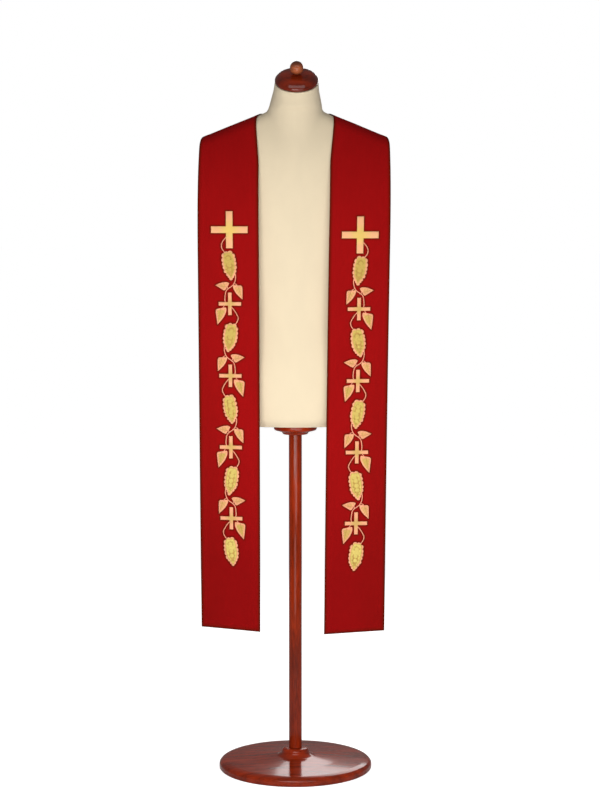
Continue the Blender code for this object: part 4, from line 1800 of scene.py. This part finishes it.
@dataclass(frozen=True)
class FormBody:
    """The stuffed body and neck under a knitted cover, with a seam up each side and the back."""

    drape: Drape
    rings: tuple[BodyRing, ...] = (
        BodyRing(0.862, 0.138, 0.080, 0.088, 2.2),
        BodyRing(0.874, 0.153, 0.091, 0.101, 2.2),
        BodyRing(0.905, 0.165, 0.098, 0.111, 2.2),
        BodyRing(0.975, 0.171, 0.100, 0.116, 2.2),
        BodyRing(1.100, 0.152, 0.088, 0.094, 2.2),
        BodyRing(1.220, 0.160, 0.090, 0.098, 2.3),
        BodyRing(1.340, 0.178, 0.093, 0.106, 2.4),
        BodyRing(1.440, 0.190, 0.092, 0.108, 2.4),
        BodyRing(1.520, 0.198, 0.090, 0.106, 2.4),
        BodyRing(1.660, 0.200, 0.088, 0.100, 2.4),
    )
    neck: tuple[NeckRing, ...] = (
        NeckRing(1.500, 0.000, 0.0, 0.0680),
        NeckRing(1.600, 0.003, 0.0, 0.0675),
        NeckRing(1.632, 0.008, 4.0, 0.0655),
        NeckRing(1.652, 0.017, 13.0, 0.0610),
        NeckRing(1.674, 0.028, 23.0, 0.0555),
        NeckRing(1.694, 0.039, 31.0, 0.0528),
    )
    foot: Numbers = (0.862, 0.8635, 0.866, 0.869, 0.873, 0.878, 0.884, 0.891, 0.899, 0.908)
    torso_top: float = 1.632
    torso_step: float = 0.0065
    neck_start: float = 1.642
    neck_step: float = 0.0040
    side_lean: float = 0.09
    around: int = 120
    seat_gap: float = 0.0009
    fall_inset: float = 0.05
    rounding: float = 9.0
    widest: float = 1.0
    fillet: float = 14.0
    girth: float = 0.15
    seams: Numbers = (0.0, math.pi / 2, math.pi)
    seam_depth: float = 0.0009
    seam_breadth: float = 0.0011
    seam_offsets: Numbers = (-0.0034, -0.0019, -0.0009, 0.0, 0.0009, 0.0019, 0.0034)
    seam_clearance: float = 0.03

    def angles(self) -> Array:
        """Angles of the points round each ring, closer together at the seams."""
        even = np.arange(self.around) / self.around * TURN
        near = [seam + offset / self.girth for seam in self.seams for offset in self.seam_offsets]
        near = np.array(near) % TURN
        clear = [np.abs(off(even, one)) > self.seam_clearance for one in near]
        return np.sort(np.concatenate([even[np.all(clear, axis=0)], near]))

    def groove(self, angles: Array, reach: Array) -> Array:
        """How far the seams draw the cover in."""
        total = np.zeros_like(angles)
        for seam in self.seams:
            aside = off(angles, seam) * reach
            total += self.seam_depth * np.exp(-((aside / self.seam_breadth) ** 2))
        return total

    def body_reach(self, height: float, angles: Array) -> Array:
        """How far the body's ring reaches from the axis."""
        ring = ring_at(self.rings, height)
        along, aside = np.abs(np.cos(angles)), np.abs(np.sin(angles))
        depth = np.where(np.sin(angles) > 0, ring.back, ring.front)
        sizes = (along / ring.half_width) ** ring.square + (aside / depth) ** ring.square
        return sizes ** (-1.0 / ring.square)

    def shoulder_reach(self, height: float, angles: Array) -> Array:
        """How far this height lies under shoulders that fall like the cloth, only shallower."""
        _, front_depth, front_drop = self.drape.front.table()
        _, back_depth, back_drop = self.drape.back.table()
        slope, top = self.drape.shoulder_slope, self.drape.apex_height - self.seat_gap

        def inside(reach: Array) -> Array:
            """Whether points at reaches are under the shoulders."""
            ridge = top - np.abs(reach * np.cos(angles)) * math.tan(slope)
            fall = (ridge - height) * math.cos(slope)
            front = np.interp(fall, front_drop, front_depth)
            back = np.interp(fall, back_drop, back_depth)
            room = np.where(np.sin(angles) > 0, back, front) * (1.0 - self.fall_inset)
            return (np.abs(reach * np.sin(angles)) < room) & (fall > 0)

        return halved(np.zeros_like(angles), np.full_like(angles, self.widest), inside)[0]

    def neck_reach(self, height: float, angles: Array) -> Array:
        """How far the neck's ring reaches from the form's axis."""
        ring = ring_at(self.neck, height)
        aside = ring.forward * np.cos(angles)
        return np.sqrt(ring.radius**2 - aside**2) - ring.forward * np.sin(angles)

    def torso_ring(self, height: float, angles: Array) -> Array:
        """Points of the body at one height."""
        under = np.maximum(self.shoulder_reach(height, angles), TINY)
        reach = self.body_reach(height, angles) ** -self.rounding + under**-self.rounding
        reach = reach ** (-1.0 / self.rounding)
        reach = reach**self.fillet + self.neck_reach(height, angles) ** self.fillet
        reach = reach ** (1.0 / self.fillet)
        reach = reach - self.groove(angles, reach)
        level = np.full_like(reach, height)
        return np.column_stack([reach * np.cos(angles), reach * np.sin(angles), level])

    def neck_ring(self, height: float, angles: Array) -> Array:
        """Points of the leaning neck at one height of its axis."""
        ring = ring_at(self.neck, height)
        tilt = math.radians(ring.tilt)
        reach = ring.radius - self.groove(angles, np.full_like(angles, ring.radius))
        behind = reach * np.sin(angles)
        return np.column_stack([
            reach * np.cos(angles) + self.side_lean * ring.forward,
            behind * math.cos(tilt) - ring.forward,
            height + behind * math.sin(tilt),
        ])

    def build(self, jersey: Material) -> Object:
        """Makes the covered body.

        Args:
            jersey: the cover's material.

        Returns:
            The piece.
        """
        angles, top = self.angles(), self.neck[-1].height
        steps = round((self.torso_top - self.foot[-1]) / self.torso_step)
        heights = [*self.foot, *np.linspace(self.foot[-1], self.torso_top, steps + 1)[1:]]
        steps = round((top - self.neck_start) / self.neck_step)
        rings = [self.torso_ring(float(height), angles) for height in heights]
        for height in np.linspace(self.neck_start, top, steps + 1):
            rings.append(self.neck_ring(float(height), angles))
        points = np.vstack(rings)
        cut = np.column_stack([np.tile(angles * self.girth, len(rings)), points[:, 2]])
        draft = Draft()
        draft.add(points, tube_faces(len(rings), len(angles)), cut=cut)
        piece = settle(draft.piece("form_body_cover", [jersey]), Slot.CREAM_JERSEY, "form_body")
        return piece


@dataclass(frozen=True)
class TurnedPiece:
    """A piece turned on a lathe, from an outline of (radius, height) from the top down.

    "dark" gives the painted shade at shares of the way along the outline. A corner's fillet takes
    up no more than the corner share of each side.
    """

    node: str
    outline: Table
    slot: Slot
    seat: Triple
    tilt: float = 0.0
    fillet: float = 0.0015
    fillet_steps: int = 4
    corner_share: float = 0.45
    segments: int = 96
    dark: Table = ((0.0, 1.0),)

    def rounded(self) -> Array:
        """Rounds the corners of the outline.

        Returns:
            Rows of (radius, height).
        """
        corners = np.array(self.outline, float)
        made = [corners[0]]
        for before, here, after in zip(corners, corners[1:], corners[2:]):
            sides = before - here, after - here
            lengths = [np.linalg.norm(side) for side in sides]
            size = min(self.fillet, *(self.corner_share * length for length in lengths))
            start, end = (here + side / length * size for side, length in zip(sides, lengths))
            for share in np.linspace(0.0, 1.0, self.fillet_steps + 1):
                bend = here * 2 * share * (1 - share)
                made.append(start * (1 - share) ** 2 + bend + end * share**2)
        made.append(corners[-1])
        return np.array(made)

    def build(self, wood: Material) -> Object:
        """Makes the piece.

        Args:
            wood: its material.

        Returns:
            The piece.
        """
        profile = self.rounded()[1:-1]
        many, rows = self.segments, len(profile)
        angle = np.linspace(0.0, TURN, many, endpoint=False)
        x, y = profile[:, :1] * np.cos(angle), profile[:, :1] * np.sin(angle)
        z = np.broadcast_to(profile[:, 1:], x.shape)
        ends = [[0.0, 0.0, self.outline[0][1]], [0.0, 0.0, self.outline[-1][1]]]
        points = np.vstack([np.stack([x, y, z], axis=-1).reshape(-1, 3), ends])
        points = points @ np.array(Matrix.Rotation(self.tilt, 3, "X")).T + np.array(self.seat)
        top, last = rows * many, (rows - 1) * many
        faces = strip_faces(rows, many, closed=True)
        faces += [(top, (k + 1) % many, k) for k in range(many)]
        faces += [(top + 1, last + k, last + (k + 1) % many) for k in range(many)]
        steps = np.linalg.norm(np.diff(profile, axis=0), axis=1)
        gone = running(steps)
        # painted shade at shares of the way along the outline
        wood_tone = np.interp(gone / gone[-1], *np.array(self.dark).T)
        shade = np.concatenate([np.repeat(wood_tone, many), [self.dark[0][1], self.dark[-1][1]]])
        draft = Draft()
        draft.add(points, faces, shade=shade)
        return settle(draft.piece(f"{self.node}_turned", [wood], sharp=30.0), self.slot, self.node)


@dataclass(frozen=True)
class Stand:
    """The turned wood of the form: the cap on its neck, and what carries it from the floor."""

    form: FormBody
    gap: float = 0.0003
    cap: Table = (
        (0.0, 0.0235), (0.016, 0.0229), (0.031, 0.0211), (0.041, 0.0188), (0.0458, 0.0164),
        (0.0517, 0.0096), (0.0530, 0.0062), (0.0522, 0.0022), (0.0495, 0.0), (0.0, 0.0),
    )
    # painted shade on the cap: darker on its bevel, side and underside
    cap_painted_shade: Table = ((0.0, 1.0), (0.40, 1.0), (0.50, 0.80), (0.58, 0.55), (1.0, 0.50))
    knob_radius: float = 0.0164
    knob_centre: float = 0.0152
    knob_points: int = 26
    # painted shade on the knob: darker at its top and a little at its foot
    knob_painted_shade: Table = (
        (0.0, 0.15), (0.16, 0.30), (0.27, 0.60), (0.39, 1.0), (0.62, 1.0), (1.0, 0.6),
    )
    socket: Table = (
        (0.0, 0.024), (0.050, 0.024), (0.053, 0.021), (0.053, 0.013), (0.050, 0.010),
        (0.034, 0.006), (0.030, 0.0), (0.0, 0.0),
    )
    pole_radius: float = 0.016
    base: Table = (
        (0.0, 0.050), (0.028, 0.050), (0.033, 0.046), (0.034, 0.038), (0.046, 0.031),
        (0.110, 0.026), (0.172, 0.023), (0.184, 0.020), (0.190, 0.014), (0.190, 0.003),
        (0.187, 0.0), (0.0, 0.0),
    )

    def knob(self) -> Table:
        """The knob's outline: a ball that stands on a small flat."""
        radius, centre = self.knob_radius, self.knob_centre
        angles = np.linspace(0.0, math.pi - math.acos(centre / radius), self.knob_points + 1)
        ball = ((radius * math.sin(a), centre + radius * math.cos(a)) for a in angles)
        return (*ball, (0.0, 0.0))

    def build(self, red: Material, upright: Material, knob: Material) -> list[Object]:
        """Makes every turned piece.

        Args:
            red: the dark stained wood.
            upright: the same with its grain upright.
            knob: the lighter wood of the knob.

        Returns:
            The pieces.
        """
        top = self.form.neck[-1]
        tilt = math.radians(top.tilt)
        axis = Vector((0.0, -math.sin(tilt), math.cos(tilt)))
        neck_top = Vector((self.form.side_lean * top.forward, -top.forward, top.height))
        seat = neck_top + self.gap * axis
        knob_seat = seat + (self.cap[0][1] + self.gap) * axis
        socket_foot = self.form.foot[0] - self.gap - self.socket[0][1]
        pole_foot = self.base[0][1] + self.gap
        length, radius = socket_foot - self.gap - pole_foot, self.pole_radius
        pole = ((0.0, length), (radius, length), (radius, length / 2), (radius, 0.0), (0.0, 0.0))
        pieces = (
            TurnedPiece(
                "neck_cap", self.cap, Slot.RED_WOOD, tuple(seat), tilt, fillet=0.0022,
                segments=128, dark=self.cap_painted_shade,
            ),
            TurnedPiece(
                "cap_knob", self.knob(), Slot.KNOB_WOOD, tuple(knob_seat), tilt, fillet=0.0004,
                segments=64, dark=self.knob_painted_shade,
            ),
            TurnedPiece("pole_socket", self.socket, Slot.RED_WOOD, (0.0, 0.0, socket_foot)),
            TurnedPiece(
                "stand_pole", pole, Slot.RED_WOOD, (0.0, 0.0, pole_foot), fillet=0.0010,
                segments=64,
            ),
            TurnedPiece(
                "stand_base", self.base, Slot.RED_WOOD, (0.0, 0.0, 0.0), fillet=0.0030,
                segments=144,
            ),
        )
        woods = (red, knob, red, upright, red)
        return [piece.build(wood) for piece, wood in zip(pieces, woods, strict=True)]


# ---- the studio ----


@dataclass(frozen=True)
class Softbox:
    """A soft light, "width" by "tall", that looks at a point."""

    name: str
    place: Triple
    target: Triple
    width: float
    tall: float
    power: float

    def build(self) -> None:
        """Hangs the light."""
        lamp = bpy.data.lights.new(self.name, "AREA")
        lamp.shape, lamp.size, lamp.size_y = "RECTANGLE", self.width, self.tall
        lamp.energy = self.power
        held = put_in_scene(self.name, lamp)
        held.location = self.place
        look = Vector(self.target) - Vector(self.place)
        held.rotation_euler = look.to_track_quat("-Z", "Y").to_euler()
        held.visible_camera = False


@dataclass(frozen=True)
class Studio:
    """Floor, lights, surroundings and camera."""

    camera_place: Triple = (0.0115, -5.13, 1.40)
    camera_pitch: float = math.atan(0.466 / 5.0)
    lens: float = 94.14
    sensor: float = 36.0
    floor_radius: float = 60.0
    floor_sides: int = 96
    floor_drop: float = 0.0002
    ambient: float = 0.20
    lights: tuple[Softbox, ...] = (
        Softbox("key_softbox", (-0.26, -1.36, 1.04), (0.0, 0.0, 1.06), 0.7, 0.7, 9.8),
        Softbox("fill_softbox", (0.40, -1.40, 0.90), (0.0, 0.0, 0.96), 0.8, 0.8, 7.1),
        Softbox("low_softbox", (-0.05, -0.95, 0.34), (0.0, 0.0, 0.42), 0.5, 0.3, 1.15),
        Softbox("top_strip", (0.0, -1.30, 2.35), (0.0, -0.05, 1.70), 1.9, 0.4, 4.6),
        Softbox("back_softbox", (0.5, 2.4, 1.6), (0.0, 0.0, 1.1), 1.3, 1.3, 22.0),
    )

    def build(self) -> None:
        """Makes everything round the object."""
        self.lay_floor()
        for light in self.lights:
            light.build()
        self.light_surroundings()
        self.set_camera()

    def lay_floor(self) -> None:
        """Lays a round floor, a little under the object's foot."""
        mesh = bpy.data.meshes.new("studio_floor")
        work = bmesh.new()
        bmesh.ops.create_circle(
            work, cap_ends=True, radius=self.floor_radius, segments=self.floor_sides
        )
        work.to_mesh(mesh)
        work.free()
        mesh.materials.append(PaleFloor().material())
        floor = put_in_scene("studio_floor", mesh)
        floor.location.z = -self.floor_drop
        floor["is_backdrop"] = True

    def light_surroundings(self) -> None:
        """Surrounds the scene with white, which lights it less than it shows."""
        world = bpy.data.worlds.new("white_surround")
        world.use_nodes = True
        nodes, links = world.node_tree.nodes, world.node_tree.links
        seen = nodes.new("ShaderNodeLightPath")
        strength = nodes.new("ShaderNodeMapRange")
        strength.inputs["To Min"].default_value = self.ambient
        strength.inputs["To Max"].default_value = 1.0
        links.new(seen.outputs["Is Camera Ray"], strength.inputs["Value"])
        background = nodes["Background"]
        background.inputs["Color"].default_value = (*WHITE, 1.0)
        links.new(strength.outputs[0], background.inputs["Strength"])
        bpy.context.scene.world = world
        bpy.context.scene.view_settings.view_transform = "Standard"

    def set_camera(self) -> None:
        """Sets the camera."""
        camera = bpy.data.cameras.new("camera")
        camera.lens, camera.sensor_width = self.lens, self.sensor
        held = put_in_scene("camera", camera)
        held.location = self.camera_place
        held.rotation_euler = (math.pi / 2 - self.camera_pitch, 0.0, 0.0)
        bpy.context.scene.camera = held


def write_sizes(solid: tuple[Vector, Vector]) -> None:
    """Gathers the solid model's box and the finished one's, and does nothing with them.

    Args:
        solid: lowest and highest corner of the solid model.
    """
    boxes = {
        name: [list(corner) for corner in box]
        for name, box in (("cad", solid), ("visual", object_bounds()))
    }


LEFT_HALF = HalfCut(
    Side.LEFT, toe_in=0.0205, hem=1.2683, hem_slant=0.0060, twist=0.0, slip=0.0125, beside=0.0012,
    creases=(
        Crease(0.170, 0.030, 0.120, 0.022, 8.0, 0.0010),
        Crease(0.620, -0.052, 0.230, 0.020, -3.0, 0.0014),
        Crease(0.980, 0.048, 0.260, 0.024, 2.0, 0.0016),
        Crease(-0.180, 0.000, 0.060, 0.024, 14.0, 0.0010),
    ),
)
RIGHT_HALF = HalfCut(
    Side.RIGHT, toe_in=0.0070, hem=1.2603, hem_slant=0.0035, twist=0.20, slip=0.0, beside=-0.0030,
    creases=(
        Crease(0.150, 0.040, 0.110, 0.020, 10.0, 0.0010),
        Crease(0.540, 0.050, 0.200, 0.022, 2.0, 0.0013),
        Crease(1.020, -0.050, 0.240, 0.022, -2.0, 0.0016),
        Crease(-0.170, 0.010, 0.060, 0.022, 10.0, 0.0010),
    ),
)


def main() -> None:
    """Builds the stole on its form and the studio round them."""
    logging.basicConfig(level=logging.INFO, format="%(name)s: %(message)s")
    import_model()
    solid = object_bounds()
    drape = Drape()
    twill = WovenCloth("red_twill", (0.320, 0.0034, 0.0038)).material()
    lining = WovenCloth(
        "red_lining", (0.280, 0.0034, 0.0038), rib=0.0006, roughness=0.55, specular=0.12
    ).material()
    gold = StitchedThread("gold_thread", rim=(0.99, 0.455, 0.255), middle=(0.63, 0.455, 0.108))
    bright = StitchedThread(
        "bright_gold_thread", rim=(0.99, 0.515, 0.265), middle=(0.90, 0.635, 0.165)
    )
    stem = StitchedThread("stem_thread", rim=(0.96, 0.40, 0.25), middle=(0.96, 0.40, 0.25))
    threads = [thread.material() for thread in (gold, bright, stem)]
    form = FormBody(drape)
    form.build(Jersey("cream_jersey", (0.85, 0.715, 0.50)).material())
    red_wood = VarnishedWood("red_stained_wood", (0.252, 0.0220, 0.0038))
    upright = replace(
        red_wood, name="upright_red_wood", drift=(26.0, 26.0, 5.0), lines=(700.0, 1100.0, 40.0)
    )
    orange = VarnishedWood("orange_stained_wood", (0.40, 0.108, 0.042), shares=(0.45, 1.6))
    Stand(form).build(red_wood.material(), upright.material(), orange.material())
    for half in (LEFT_HALF, RIGHT_HALF):
        cloth = StoleHalf(drape, half)
        band = cloth.build(twill, lining)
        work = Needlework(drape, half, *threads, cloth=twill)
        cloth.declare(Embroidery().build(work))
    Studio().build()
    write_sizes(solid)


if __name__ == "__main__":
    main()
